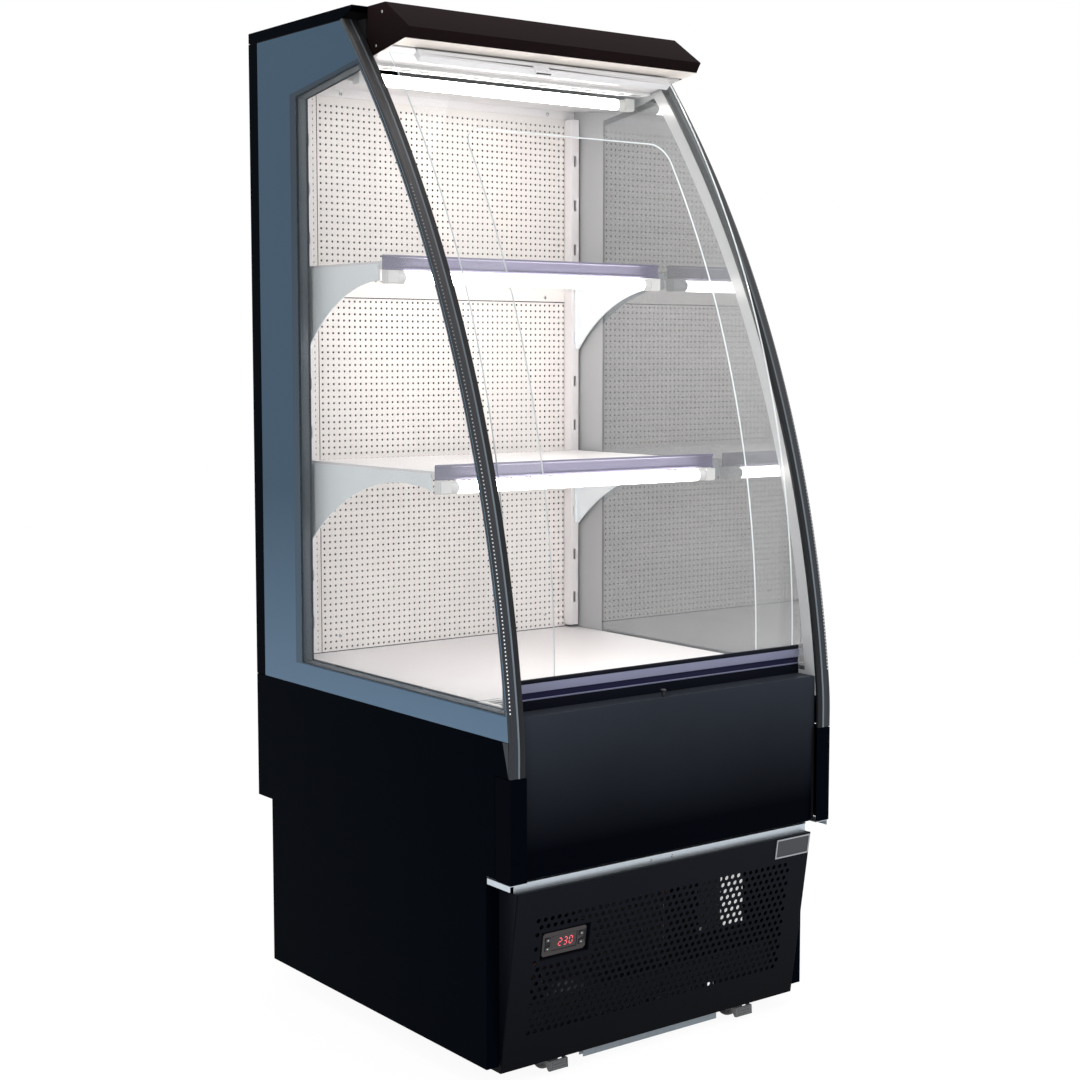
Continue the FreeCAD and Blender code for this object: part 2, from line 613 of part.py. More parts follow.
def night_blind():
    w, h = BAR_SIZE[0] / 2, BAR_SIZE[1] / 2
    section = along_path(BAR_HEIGHT, [(-w, -h), (-w, h), (-1, h), (0.4, h - 3), (1, h), (w, h), (w, 1.2),
                                      (w - 2, 0), (w, -1.2), (w, -h)])
    bar = prism(section, -BAR_HALF, BAR_HALF)
    grip = along_path(BAR_HEIGHT, [(w - 1, -h - 9), (w - 1, -1.6), (w + 2.5, -1.6), (w + 2.5, -h - 9)])
    handle = prism(grip, BLIND_X - 14, BLIND_X + 14)
    window = along_path(BAR_HEIGHT, [(0, -h - 6), (0, -h - 2), (20, -h - 2), (20, -h - 6)])
    handle = handle.cut(prism(window, BLIND_X - 9, BLIND_X + 9))
    save("blind_bar", bar.fuse(handle).removeSplitter())
    depth, z = ROLLER
    section = [(0, ROLLER_RADIUS), (2 * ROLLER_HALF, ROLLER_RADIUS)]
    tube = turned(at(-ROLLER_HALF, depth, z), Vector(1, 0, 0), section, 20)
    journal = rod(at(ROLLER_HALF, depth, z), at(ROLLER_HALF + 14, depth, z), 4)
    save("blind_roller", [tube] + both_sides(journal))
    start = along_path(BAR_HEIGHT, [(0, h + 0.6), (0.6, h + 0.6)])
    finish = along_path(BAR_HEIGHT, [(0, 33.0), (0.6, 33.0)])
    save("blind_film", prism([start[0], start[1], finish[1], finish[0]], -ROLLER_HALF + 6, ROLLER_HALF - 6))
    plate_outline = [(depth - 16, z - 14), (depth + 22, z - 14), (depth + 40, z + 22), (depth + 2, z + 22)]
    plate = prism(plate_outline, ROLLER_HALF + 6, ROLLER_HALF + 9)
    tab = block(ROLLER_HALF + 6, HOOD_HALF - 1.5, depth + 8, depth + 38, z + 20, z + 22)
    bracket = fused([plate, tab]).cut(bore(at(ROLLER_HALF, depth, z), Vector(1, 0, 0), 20, 4.4, 10))
    catch = turned(at(BLIND_X, 16.5, LEDGE_HEIGHT), Vector(0, 0, 1), [(0, 2.5), (7, 2.5), (8, 4.5), (10.5, 4)], 12)
    save("blind_fittings", both_sides(bracket) + [catch])


# ---------------------------------------------------------------- machine compartment front
def front_cross_rail():
    """Galvanised rail between the tub and the grille, wrapped round to both sides."""
    front = folded([(26.0, 276.0), (26.0, 296.0), (66.0, 296.0)], -SHEET, -HALF + 24, HALF - 24)
    end = prism([(3.0, 295.0), (55.0, 295.0), (55.0, 302.0), (3.0, 302.0)], HALF - SHEET, HALF)
    shelf = block(HALF - 24, HALF, 3.0, 55.0, 302.0, 302.0 + SHEET)
    strap = block(HALF - 24, HALF - 24 + SHEET, 26.0, 55.0, 295.0, 302.0)
    link = block(HALF - 30, HALF - 22.8, 26.0, 55.0, 295.0, 296.0)
    sides = [fused([end, shelf, strap, link])]
    save("front_cross_rail", fused([front] + sides + [mirrored(sides[0])]))


def on_grille(shape):
    """Lean a shape drawn upright at Y = 0 with the grille, foot on its bottom edge."""
    (top_d, top_z), (low_d, low_z) = GRILLE_TOP, GRILLE_BOTTOM
    lean = math.degrees(math.atan2(low_d - top_d, top_z - low_z))
    shape = shape.copy()
    shape.rotate(Vector(0, 0, 0), Vector(1, 0, 0), lean)
    shape.translate(at(0, low_d, low_z))
    return shape


GRILLE_LENGTH = math.hypot(GRILLE_BOTTOM[0] - GRILLE_TOP[0], GRILLE_TOP[1] - GRILLE_BOTTOM[1])
POCKET = (86.0, 42.0, 9.0)


def machine_grille():
    """Perforated slanted cover: staggered holes, a sunk pocket for the controller, side returns."""
    cx, cv = CONTROLLER_CENTRE
    w, h, deep = POCKET
    rows, first, left, right = 6, 58.0, -232.0, 232.0
    holes = [[Vector(x, 0, z) for x, z in rectangle(cx - w / 2, cx + w / 2, cv - h / 2, cv + h / 2)]]
    for k in range(rows):
        z = first + k * HOLE_PITCH_Z
        x = left + (k % 2) * HOLE_PITCH_X / 2
        while x <= right:
            if abs(x - cx) > w / 2 + HOLE_WIDTH / 2 + 1 or abs(z - cv) > h / 2 + HOLE_WIDTH / 2 + 1:
                holes.append(polygon_ring((x, z), HOLE_WIDTH / 2, 6))
            x += HOLE_PITCH_X
    half = GRILLE_HALF - SHEET
    sheet = flat_plate(rectangle(-half, half, 0, GRILLE_LENGTH), holes, SHEET)
    cut_out = [Vector(x, 0, z) for x, z in rectangle(cx - 35.7, cx + 35.7, cv - 14.7, cv + 14.7)]
    floor = flat_plate(rectangle(cx - w / 2 - 1, cx + w / 2 + 1, cv - h / 2 - 1, cv + h / 2 + 1),
                       [cut_out], SHEET)
    floor.translate(Vector(0, deep, 0))
    rim = Part.makeBox(w + 2, deep, h + 2, Vector(cx - w / 2 - 1, 0, cv - h / 2 - 1))
    rim = rim.cut(Part.makeBox(w, deep * 3, h, Vector(cx - w / 2, -deep, cv - h / 2)))
    panel = on_grille(fused([sheet, floor, rim]))
    edge = prism([GRILLE_BOTTOM, (GRILLE_RETURN, GRILLE_BOTTOM[1]), (GRILLE_RETURN, 283.0),
                  (GRILLE_TOP[0] + 1, 284.5)], half, GRILLE_HALF)
    top = block(-half, half, GRILLE_TOP[0] + 0.4, GRILLE_TOP[0] + 8, 283.4, 284.6)
    save("machine_grille", [fused([panel, top])] + both_sides(edge))


def in_pocket(shape):
    """Move a shape drawn round the origin to the controller's place in the pocket."""
    shape = shape.copy()
    shape.translate(Vector(CONTROLLER_CENTRE[0], POCKET[2], CONTROLLER_CENTRE[1]))
    return on_grille(shape)


BUTTON_SIZE = (8.0, 6.0)
BUTTON_PLACES = [(-29.5, 6.5), (-29.5, -6.5), (29.5, 6.5), (29.5, -6.5)]
WINDOW_HALF = (22.0, 11.0)


def key_block(width, height, corner, depth):
    """A block round the origin with its four corners cut off."""
    w, h = width / 2, height / 2
    outline = [(w - corner, -h), (w, -h + corner), (w, h - corner), (w - corner, h),
               (corner - w, h), (-w, h - corner), (-w, corner - h), (corner - w, -h)]
    return flat_plate(outline, [], depth)


def controller():
    """Panel controller: bezel, body through the cut-out, display window and four keys."""
    w, h = BEZEL
    bezel = key_block(w, h, 3.0, 6.0)
    bezel.translate(Vector(0, -6.2, 0))
    body = Part.makeBox(71, 50, 29, Vector(-35.5, -0.2, -14.5))
    housing = bezel.fuse(body)
    ww, wh = WINDOW_HALF
    housing = housing.cut(Part.makeBox(2 * ww, 4, 2 * wh, Vector(-ww, -7.2, -wh)))
    bw, bh = BUTTON_SIZE
    for x, z in BUTTON_PLACES:
        well = Part.makeBox(bw + 0.8, 5, bh + 0.8, Vector(x - bw / 2 - 0.4, -7.2, z - bh / 2 - 0.4))
        housing = housing.cut(well)
    window = Part.makeBox(2 * ww - 0.2, 2.6, 2 * wh - 0.2, Vector(-ww + 0.1, -5.8, -wh + 0.1))
    save("controller", [in_pocket(housing.removeSplitter()), in_pocket(window)])
    for i, (x, z) in enumerate(BUTTON_PLACES, 1):
        key = key_block(bw, bh, 1.2, 3.6)
        key.translate(Vector(x, -7.2, z))
        save("button_%d" % i, in_pocket(key))


# ---------------------------------------------------------------- base frame and castors
def base_frame():
    """Welded galvanised floor frame: a rim of flat bars, floor plates round a well, castor plates."""
    half, d0, d1 = GRILLE_HALF - 3, MACHINE_FRONT + 2, MACHINE_REAR - 1
    z0, z1, t = FRAME_BOTTOM, FRAME_BOTTOM + 38, 2.0
    well, front, rear = TRAY_HALF + 1, MACHINE_FRONT + 12, MACHINE_REAR - 31
    side_bar = block(half - t, half, d0, d1, z0, z1)
    end_bars = [block(t - half, half - t, d, d + t, z0, z1) for d in (d0, d1 - t)]
    strips = [block(-well, well, low, high, z0, z0 + t) for low, high in ((d0 + t, front), (rear, d1 - t))]
    floor = block(well, half - t, d0 + t, d1 - t, z0, z0 + t)
    plates = []
    for depth in CASTOR_DEPTHS.values():
        foot = at(CASTOR_X, depth, z0 - 10)
        plate = block(CASTOR_X - 33, CASTOR_X + 33, depth - 27, depth + 27, z0 - 3, z0)
        plates += both_sides(plate.cut(bore(foot, Vector(0, 0, 1), 20, 5.4, 12)))
        floor = floor.cut(bore(foot, Vector(0, 0, 1), 20, 9, 8))
    save("base_frame", both_sides(side_bar) + end_bars + strips + both_sides(floor) + plates)


def unit_tray():
    """Dropped tray that carries the compressor and hangs in the frame's well."""
    d0, d1 = MACHINE_FRONT + 13, MACHINE_REAR - 32
    z0, z1, t = TRAY_BOTTOM, FRAME_BOTTOM + 2.0, 1.5
    tub = block(-TRAY_HALF, TRAY_HALF, d0, d1, z0, z1 + t)
    tub = tub.cut(block(-TRAY_HALF + t, TRAY_HALF - t, d0 + t, d1 - t, z0 + t, z1 + t + 1))
    rim = [block(TRAY_HALF - t, TRAY_HALF + 12, d0, d1, z1, z1 + t)]
    lip = block(-TRAY_LIP_HALF, TRAY_LIP_HALF, MACHINE_FRONT + 4, d0 + t, z0, z0 + 13)
    lip = lip.cut(block(-HALF, HALF, MACHINE_FRONT + 4 + t, d0, z0 - 1, z0 + 13 - t))
    save("unit_tray", fused([tub, lip] + rim + [mirrored(rim[0])]))


def castor(name, x, depth, braked):
    """Swivel castor: forked housing on a king pin, and its wheel."""
    axle_d, axle_z = depth - CASTOR_TRAIL, WHEEL_RADIUS
    crown_top, half = FRAME_BOTTOM - 4, WHEEL_WIDTH / 2 + 1.5
    crown = turned(at(x, depth, crown_top - 6), Vector(0, 0, 1), [(0, 19), (6, 17)], 12)
    pin = rod(at(x, depth, crown_top), at(x, depth, crown_top + 12), 5)
    leg_outline = [(depth + 13, crown_top - 2), (axle_d + 7, axle_z - 7), (axle_d - 7, axle_z - 7),
                   (axle_d - 9, axle_z + 4), (axle_d - 21, axle_z + 20), (axle_d - 19, axle_z + 27),
                   (depth - 17, crown_top - 2)]
    legs = [prism(leg_outline, x + s * half, x + s * (half + 2.5)) for s in (-1, 1)]
    bridge = block(x - half - 2.5, x + half + 2.5, depth - 17, depth + 13, crown_top - 5, crown_top - 2)
    nuts = [turned(at(x + s * (half + 2.5) - 1.5, axle_d, axle_z), Vector(1, 0, 0), [(0, 5), (3, 5)], 6)
            for s in (-1, 1)]
    pieces = [crown, bridge] + legs + nuts
    pins = [pin, rod(at(x - half, axle_d, axle_z), at(x + half, axle_d, axle_z), 4)]
    if braked:
        pivot = (axle_d - 17.0, axle_z + 22.5)
        pins.append(rod(at(x - half, *pivot), at(x + half, *pivot), 2))
        pieces += [turned(at(x + s * (half + 4) - 2, *pivot), Vector(1, 0, 0), [(0, 2), (4, 2)], 6)
                   for s in (-1, 1)]
        save("brake_pedal_" + name, brake_pedal(x, axle_d, pivot, half + 2.9))
    save("castor_fork_" + name, [fused(pieces)] + pins)
    sides, w = 24, WHEEL_WIDTH / 2
    r = WHEEL_RADIUS / math.cos(math.pi / sides)
    section = [(0, r - 2), (3, r), (2 * w - 3, r), (2 * w, r - 2)]
    tyre = turned(at(x - w, axle_d, axle_z), Vector(1, 0, 0), section, sides)
    save("castor_wheel_" + name, tyre.cut(bore(at(x - w - 1, axle_d, axle_z), Vector(1, 0, 0), 2 * w + 2, 4.4, 10)))


def brake_pedal(x, axle_d, pivot, reach):
    """Ribbed tread in front of the wheel, on two arms that turn about a pin in the fork."""
    arm_outline = [(axle_d - 12.5, 45.0), (axle_d - 14, 51.0), (axle_d - 20, 51.0), (axle_d - 26, 38.0),
                   (axle_d - 30, 21.5), (axle_d - 36, 21.5), (axle_d - 37, 8.0), (axle_d - 33, 7.5),
                   (axle_d - 24, 18.0), (axle_d - 20, 36.0)]
    pin_hole = bore(at(x - 30, *pivot), Vector(1, 0, 0), 60, 2.4, 6)
    arms = [prism(arm_outline, x + s * reach, x + s * (reach + 2.0)).cut(pin_hole) for s in (-1, 1)]
    tread_outline = [(axle_d - 33, 21.5), (axle_d - 36, 21.5), (axle_d - 37, 8.0), (axle_d - 34, 8.0)]
    tread = prism(tread_outline, x - reach, x + reach)
    ribs = [prism([(axle_d - 35, z), (axle_d - 37.6, z), (axle_d - 37.6, z + 1.6), (axle_d - 35, z + 1.6)],
                  x - reach + 3, x + reach - 3) for z in (10.0, 14.0, 18.0)]
    return [fused([tread] + ribs)] + arms


# ---------------------------------------------------------------- refrigeration pieces
def axial_fan(x, z, depth, radius, blades, hub_radius):
    """Pitched paddle blades on a faceted hub, turning about a fore-and-aft axis."""
    hub = turned(at(x, depth, z), Vector(0, 1, 0), [(0, hub_radius - 4), (4, hub_radius), (24, hub_radius)],
                 3 * blades)
    outline = [(-10, hub_radius - 4), (10, hub_radius - 4), (26, radius - 16), (18, radius - 3),
               (-16, radius - 4), (-24, radius - 20)]
    paddle = flat_plate(outline, [], 1.6)
    paddle.rotate(Vector(0, 0.8, 0), Vector(0, 0, 1), 22)
    parts = [hub]
    for i in range(blades):
        blade = paddle.copy()
        blade.rotate(Vector(0, 0, 0), Vector(0, 1, 0), 360.0 * i / blades)
        blade.translate(at(x, depth + 12, z))
        parts.append(blade)
    return fused(parts)


def ring_plate(x_half, z0, z1, centre, radius, depth, x_middle=0.0):
    """Sheet with a flanged round mouth for a fan."""
    plate = flat_plate(rectangle(x_middle - x_half, x_middle + x_half, z0, z1),
                       [polygon_ring(centre, radius, 18)], SHEET)
    plate.translate(at(0, depth, 0))
    collar = holed_face(wire(polygon_ring(centre, radius + SHEET, 18)), [wire(polygon_ring(centre, radius, 18))])
    collar = collar.extrude(Vector(0, 16, 0))
    collar.translate(at(0, depth, 0))
    return fused([plate, collar])


def finned_coil(x0, x1, d0, d1, z0, z1, fins, tubes):
    """Fin pack between two end plates, with the tubes' ends standing out of the plates."""
    pitch = (x1 - x0) / fins
    groove = 14.0
    front, back = [], []
    for i in range(fins):
        x = x0 + i * pitch
        front += [at(x, d0, z0), at(x + 1.5, d0, z0), at(x + 1.5, d0 + groove, z0), at(x + pitch, d0 + groove, z0)]
        back += [at(x, d1, z0), at(x + 1.5, d1, z0), at(x + 1.5, d1 - groove, z0), at(x + pitch, d1 - groove, z0)]
    pack = Part.Face(wire(front + back[::-1])).extrude(Vector(0, 0, z1 - z0))
    plates = [block(x, x + 2, d0 - 2, d1 + 2, z0, z1) for x in (x0 - 1, x1 - 1)]
    ends = [turned(at(x, d, z), Vector(1, 0, 0), [(0, 4.5), (14, 4.5)], 6) for x in (x0 - 13, x1)
            for d, z in tubes]
    return fused([pack] + plates + ends)


def compressor():
    """Hermetic shell on a foot plate with four rubber mounts and its terminal cover."""
    x, depth, z = 0.0, 430.0, TRAY_BOTTOM + 1.6
    section = [(14, 72), (28, 78), (94, 78), (94.5, 82), (100, 82), (142, 72), (162, 46)]
    shell = turned(at(x, depth, z), Vector(0, 0, 1), section, 16)
    foot = block(x - 95, x + 95, depth - 42, depth + 42, z + 12, z + 15)
    mounts = [turned(at(x + i * 82, depth + k * 30, z), Vector(0, 0, 1), [(0, 12), (12.5, 9)], 8)
              for i in (-1, 1) for k in (-1, 1)]
    cover = block(x - 100, x - 70, depth - 26, depth + 26, z + 55, z + 108)
    save("compressor", fused([shell, foot, cover] + mounts))


def refrigeration():
    d = CONDENSER_DEPTH
    tubes = [(e, z) for e in (d + 8, d + 28) for z in (150.0, 242.0)]
    save("condenser", finned_coil(-176, 52, d, d + 36, 112, 280, 12, tubes))
    shroud = ring_plate(124, 112, 284, FAN_CENTRE, FAN_RADIUS + 4, d + 46, -62.0)
    motor_x, motor_z = FAN_CENTRE
    arm = block(motor_x - 6, motor_x + 6, d + 92, d + 95, 112, 284)
    struts = [block(motor_x - 6, motor_x + 6, d + 47, d + 95, z, z + 3) for z in (112, 281)]
    motor = turned(at(motor_x, d + 95, motor_z), Vector(0, 1, 0), [(0, 30), (34, 30), (41, 22)], 16)
    shaft = rod(at(motor_x, d + 78, motor_z), at(motor_x, d + 92, motor_z), 4)
    save("fan_shroud", [fused([shroud, arm, motor] + struts), shaft])
    fan = axial_fan(motor_x, motor_z, d + 60, FAN_RADIUS, 5, 24)
    socket = bore(at(motor_x, d + 76, motor_z), Vector(0, 1, 0), 24, 4.4, 8)
    save("condenser_fan", fan.cut(socket))
    coil_tubes = [(465.0, 366.0), (465.0, 408.0), (565.0, 366.0), (565.0, 408.0)]
    save("evaporator", finned_coil(-236, 228, 438, 592, 341, 430, 12, coil_tubes))
    x, z = EVAPORATOR_FAN_CENTRE
    top = DECK_TOP - SHEET
    plate = ring_plate(INNER_FACE - 2, 341, top, EVAPORATOR_FAN_CENTRE, EVAPORATOR_FAN_RADIUS + 3, 250.0)
    arm = block(x - 5, x + 5, 296, 299, 341, top)
    struts = [block(x - 5, x + 5, 251, 299, low, low + 3) for low in (341, top - 3)]
    motor = turned(at(x, 299, z), Vector(0, 1, 0), [(0, 24), (30, 24), (36, 17)], 16)
    shaft = rod(at(x, 280, z), at(x, 296, z), 3)
    save("evaporator_fan_plate", [fused([plate, arm, motor] + struts), shaft])
    fan = axial_fan(x, z, 262.0, EVAPORATOR_FAN_RADIUS, 5, 20)
    socket = bore(at(x, 278, z), Vector(0, 1, 0), 22, 3.4, 8)
    save("evaporator_fan", fan.cut(socket))
    box = block(98, 182, 70, 112, 150, 262)
    lid = block(95, 185, 67, 70, 147, 265)
    save("terminal_box", fused([box, lid]))
    compressor()


# ---------------------------------------------------------------- build
side_walls()
front_posts()
corner_covers()
side_panels()
rear_and_roof_covers()
insulation()
hood()
air_discharge()
ceiling_panel()
rear_panel()
shelf_uprights()
shelves()
rails_and_lights()
base_deck()
base_rail()
front_panel()
clear_guard()
night_blind()
front_cross_rail()
machine_grille()
controller()
base_frame()
unit_tray()
for end, castor_depth in CASTOR_DEPTHS.items():
    for hand, side in (("left", -1), ("right", 1)):
        castor(end + "_" + hand, side * CASTOR_X, castor_depth, end == "front")
refrigeration()
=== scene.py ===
import bpy
import bmesh
import math
from mathutils import Matrix, Vector
from mathutils.geometry import delaunay_2d_cdt


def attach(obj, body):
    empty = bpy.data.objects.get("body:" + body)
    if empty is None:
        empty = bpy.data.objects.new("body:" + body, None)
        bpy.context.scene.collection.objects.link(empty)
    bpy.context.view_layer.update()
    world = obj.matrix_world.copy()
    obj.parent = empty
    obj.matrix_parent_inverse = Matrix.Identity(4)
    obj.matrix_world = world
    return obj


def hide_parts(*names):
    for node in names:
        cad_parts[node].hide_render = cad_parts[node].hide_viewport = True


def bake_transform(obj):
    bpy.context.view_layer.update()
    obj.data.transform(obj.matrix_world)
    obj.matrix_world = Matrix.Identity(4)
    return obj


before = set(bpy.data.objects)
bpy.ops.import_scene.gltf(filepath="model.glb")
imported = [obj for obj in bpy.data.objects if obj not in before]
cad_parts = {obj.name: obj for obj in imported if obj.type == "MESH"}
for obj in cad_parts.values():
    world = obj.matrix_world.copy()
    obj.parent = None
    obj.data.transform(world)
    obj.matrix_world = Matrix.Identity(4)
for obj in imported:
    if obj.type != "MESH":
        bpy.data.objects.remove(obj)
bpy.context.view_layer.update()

# ---------------------------------------------------------------- camera
# The cabinet is seen from its front left corner with a long lens, from a little above the
# middle shelf.
eye = Vector((-1.7254, -2.2999, 1.0080))
sight = Vector((0.6006, 0.7945, -0.0898))
lens = bpy.data.cameras.new("camera")
lens.sensor_width = 36.0
lens.lens = 61.87
lens.shift_x = -0.0009
lens.shift_y = -0.0157
camera = bpy.data.objects.new("camera", lens)
camera.location = eye
camera.rotation_mode = "QUATERNION"
camera.rotation_quaternion = sight.to_track_quat("-Z", "Y")
bpy.context.scene.collection.objects.link(camera)
bpy.context.scene.camera = camera

# ---------------------------------------------------------------- studio
# A pale floor in a white room, with a tall soft box on each side of the camera and one
# overhead. Gloss and glass meet the same white as the camera.
bpy.context.scene.view_settings.view_transform = "Standard"


def add(tree, kind, settings={}, **sockets):
    """A node with its settings and inputs; an input is a value or another node's output."""
    made = tree.nodes.new(kind)
    for key, value in settings.items():
        setattr(made, key, value)
    for key, value in sockets.items():
        name = key.replace("_", " ")
        is_number = name[0] == "i" and name[1:].isdigit()
        socket = made.inputs[int(name[1:]) if is_number else name]
        if isinstance(value, bpy.types.NodeSocket):
            tree.links.new(value, socket)
        else:
            socket.default_value = value
    return made


def math_node(tree, operation, *values):
    """The output of a math node on values or other nodes' outputs."""
    return add(tree, "ShaderNodeMath", {"operation": operation},
               **{"i%d" % number: value for number, value in enumerate(values)}).outputs[0]


def blended(tree, kind, share, first, second):
    """The output of a mix of two floats or two colours."""
    is_float = kind == "FLOAT"
    low, high, out = ("i2", "i3", 0) if is_float else ("i6", "i7", 2)
    mix = add(tree, "ShaderNodeMix", {"data_type": kind}, i0=share, **{low: first, high: second})
    return mix.outputs[out]


def seen_ray(tree):
    """1 for the rays that show the background: camera, glossy and transmission."""
    path = add(tree, "ShaderNodeLightPath").outputs
    first = math_node(tree, "MAXIMUM", path["Is Camera Ray"], path["Is Glossy Ray"])
    return math_node(tree, "MAXIMUM", first, path["Is Transmission Ray"])


room_light = 0.70
world = bpy.data.worlds.new("studio")
bpy.context.scene.world = world
world.use_nodes = True
tree = world.node_tree
tree.nodes.clear()
glow = blended(tree, "FLOAT", seen_ray(tree), room_light, 1.0)
back = add(tree, "ShaderNodeBackground", Color=(1, 1, 1, 1), Strength=glow)
add(tree, "ShaderNodeOutputWorld", Surface=back.outputs[0])

floor_reach, floor_glow, floor_share = 8, 1.06, 0.88
floor_mesh = bpy.data.meshes.new("floor")
floor_corners = [(-1, -1), (1, -1), (1, 1), (-1, 1)]
floor_mesh.from_pydata([(floor_reach * x, floor_reach * y, 0) for x, y in floor_corners], [], [(0, 1, 2, 3)])
floor = bpy.data.objects.new("floor", floor_mesh)
bpy.context.scene.collection.objects.link(floor)
pale = bpy.data.materials.new("pale_floor")
pale.use_nodes = True
tree = pale.node_tree
shader = tree.nodes["Principled BSDF"]
shader.inputs["Roughness"].default_value = 0.9
shader.inputs["Specular IOR Level"].default_value = 0.0
spot = add(tree, "ShaderNodeTexCoord").outputs["Object"]
cloud = add(tree, "ShaderNodeTexNoise", Vector=spot, Scale=1.5, Detail=3.0)
tone = blended(tree, "RGBA", cloud.outputs["Fac"], (0.84, 0.84, 0.84, 1), (0.88, 0.88, 0.88, 1))
tree.links.new(tone, shader.inputs["Base Color"])
shine = add(tree, "ShaderNodeEmission", Color=(1, 1, 1, 1), Strength=floor_glow)
lift = math_node(tree, "MULTIPLY", seen_ray(tree), floor_share)
blend = add(tree, "ShaderNodeMixShader", i0=lift, i1=shader.outputs[0], i2=shine.outputs[0])
tree.links.new(blend.outputs[0], tree.nodes["Material Output"].inputs["Surface"])
floor_mesh.materials.append(pale)


def soft_box(name, place, target, width, height, power, mirrored):
    """A rectangular area lamp that faces its target; gloss shows it if it is mirrored."""
    data = bpy.data.lights.new(name, "AREA")
    data.shape = "RECTANGLE"
    data.size, data.size_y = width, height
    data.energy = power
    lamp = bpy.data.objects.new(name, data)
    lamp.visible_glossy = mirrored
    lamp.location = place
    lamp.rotation_euler = (Vector(target) - Vector(place)).to_track_quat("-Z", "Y").to_euler()
    bpy.context.scene.collection.objects.link(lamp)


soft_box("box_left", (-2.9, -1.3, 1.5), (0, 0, 0.9), 1.2, 2.2, 24, False)
soft_box("box_front", (1.6, -3.2, 1.9), (0, 0, 0.8), 1.6, 2.0, 34, False)
soft_box("box_top", (0, -0.5, 3.4), (0, 0, 0.8), 2.4, 2.4, 26, True)

# ---------------------------------------------------------------- lower side skins
# Folded from 1.2 mm steel sheet and powder coated black, stepped at the back and slanted
# beside the posts. A small countersunk screw holds each one at its lower front corner.
half_depth, half_width = 348, 300


def at(x, depth, z):
    """A place in metres from millimetres across, behind the foremost face and above the floor."""
    return Vector((x / 1000, (depth - half_depth) / 1000, z / 1000))


def surface_group(name, **inputs):
    """An empty texture group with these inputs, that gives a colour, a roughness and a height."""
    group = bpy.data.node_groups.new(name, "ShaderNodeTree")
    for title, value in inputs.items():
        kind = "NodeSocketColor" if isinstance(value, tuple) else "NodeSocketFloat"
        socket = group.interface.new_socket(title.replace("_", " "), in_out="INPUT", socket_type=kind)
        socket.default_value = value
    for title in ("Color", "Roughness", "Height"):
        kind = "NodeSocketColor" if title == "Color" else "NodeSocketFloat"
        group.interface.new_socket(title, in_out="OUTPUT", socket_type=kind)
    return group, group.nodes.new("NodeGroupInput").outputs, group.nodes.new("NodeGroupOutput").inputs


def varied(group, given, noise, middle):
    """The group's colour and roughness, moved a little as a noise leaves its middle value."""
    away = math_node(group, "SUBTRACT", noise, middle)
    level = math_node(group, "MULTIPLY_ADD", away, given["Shade"], 1.0)
    toned = add(group, "ShaderNodeVectorMath", {"operation": "SCALE"}, i0=given["Color"], Scale=level)
    return toned.outputs[0], math_node(group, "MULTIPLY_ADD", away, given["Spread"], given["Roughness"])


def put_out(group, made, colour, roughness, height):
    """Link what a texture group gives."""
    for title, result in (("Color", colour), ("Roughness", roughness), ("Height", height)):
        group.links.new(result, made[title])


# A sprayed coat: large soft patches change its shade and gloss, a fine orange peel gives its
# height, and dust settles on what faces upwards.
middle_grey, dust_colour = (0.5, 0.5, 0.5, 1), (0.45, 0.43, 0.40, 1)
coat_grain, given, made = surface_group("coat_grain", Color=middle_grey, Shade=0.1, Grain=900.0,
                                        Patch=6.0, Roughness=0.4, Spread=0.08, Dust=0.0)
spot = add(coat_grain, "ShaderNodeTexCoord").outputs["Object"]
grain = add(coat_grain, "ShaderNodeTexNoise", Vector=spot, Scale=given["Grain"], Detail=2.0)
patch = add(coat_grain, "ShaderNodeTexNoise", Vector=spot, Scale=given["Patch"], Detail=5.0).outputs["Fac"]
toned, rough = varied(coat_grain, given, patch, 0.5)
facing = add(coat_grain, "ShaderNodeSeparateXYZ",
             Vector=add(coat_grain, "ShaderNodeNewGeometry").outputs["Normal"])
upward = add(coat_grain, "ShaderNodeMapRange", Value=facing.outputs["Z"], From_Min=0.7, From_Max=1.0)
settled = math_node(coat_grain, "MULTIPLY", upward.outputs["Result"], patch)
dusty = math_node(coat_grain, "MULTIPLY", settled, given["Dust"])
tone = blended(coat_grain, "RGBA", dusty, toned, dust_colour)
put_out(coat_grain, made, tone, rough, grain.outputs["Fac"])


def textured(name, group, bump, depth=0.0003, **values):
    """A Principled material whose colour, roughness and relief come from a texture group. Each value
    sets the group's input of that name where there is one, and otherwise the shader's."""
    material = bpy.data.materials.new(name)
    material.use_nodes = True
    tree = material.node_tree
    shader = tree.nodes["Principled BSDF"]
    texture = add(tree, "ShaderNodeGroup", {"node_tree": group})
    for key, value in values.items():
        title = key.replace("_", " ")
        if title in texture.inputs:
            texture.inputs[title].default_value = (*value, 1) if isinstance(value, tuple) else value
        else:
            shader.inputs[title].default_value = value
    relief = add(tree, "ShaderNodeBump", Height=texture.outputs["Height"], Strength=bump, Distance=depth)
    tree.links.new(texture.outputs["Color"], shader.inputs["Base Color"])
    tree.links.new(texture.outputs["Roughness"], shader.inputs["Roughness"])
    tree.links.new(relief.outputs[0], shader.inputs["Normal"])
    return material


def placed(name, mesh, finish, slot_name, *nodes, body="cabinet"):
    """A finished mesh on its body, in place of the CAD nodes that it stands for."""
    for material in finish:
        mesh.materials.append(material)
    piece = bpy.data.objects.new(name, mesh)
    bpy.context.scene.collection.objects.link(piece)
    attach(piece, body)
    if nodes:
        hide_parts(*nodes)
    return piece


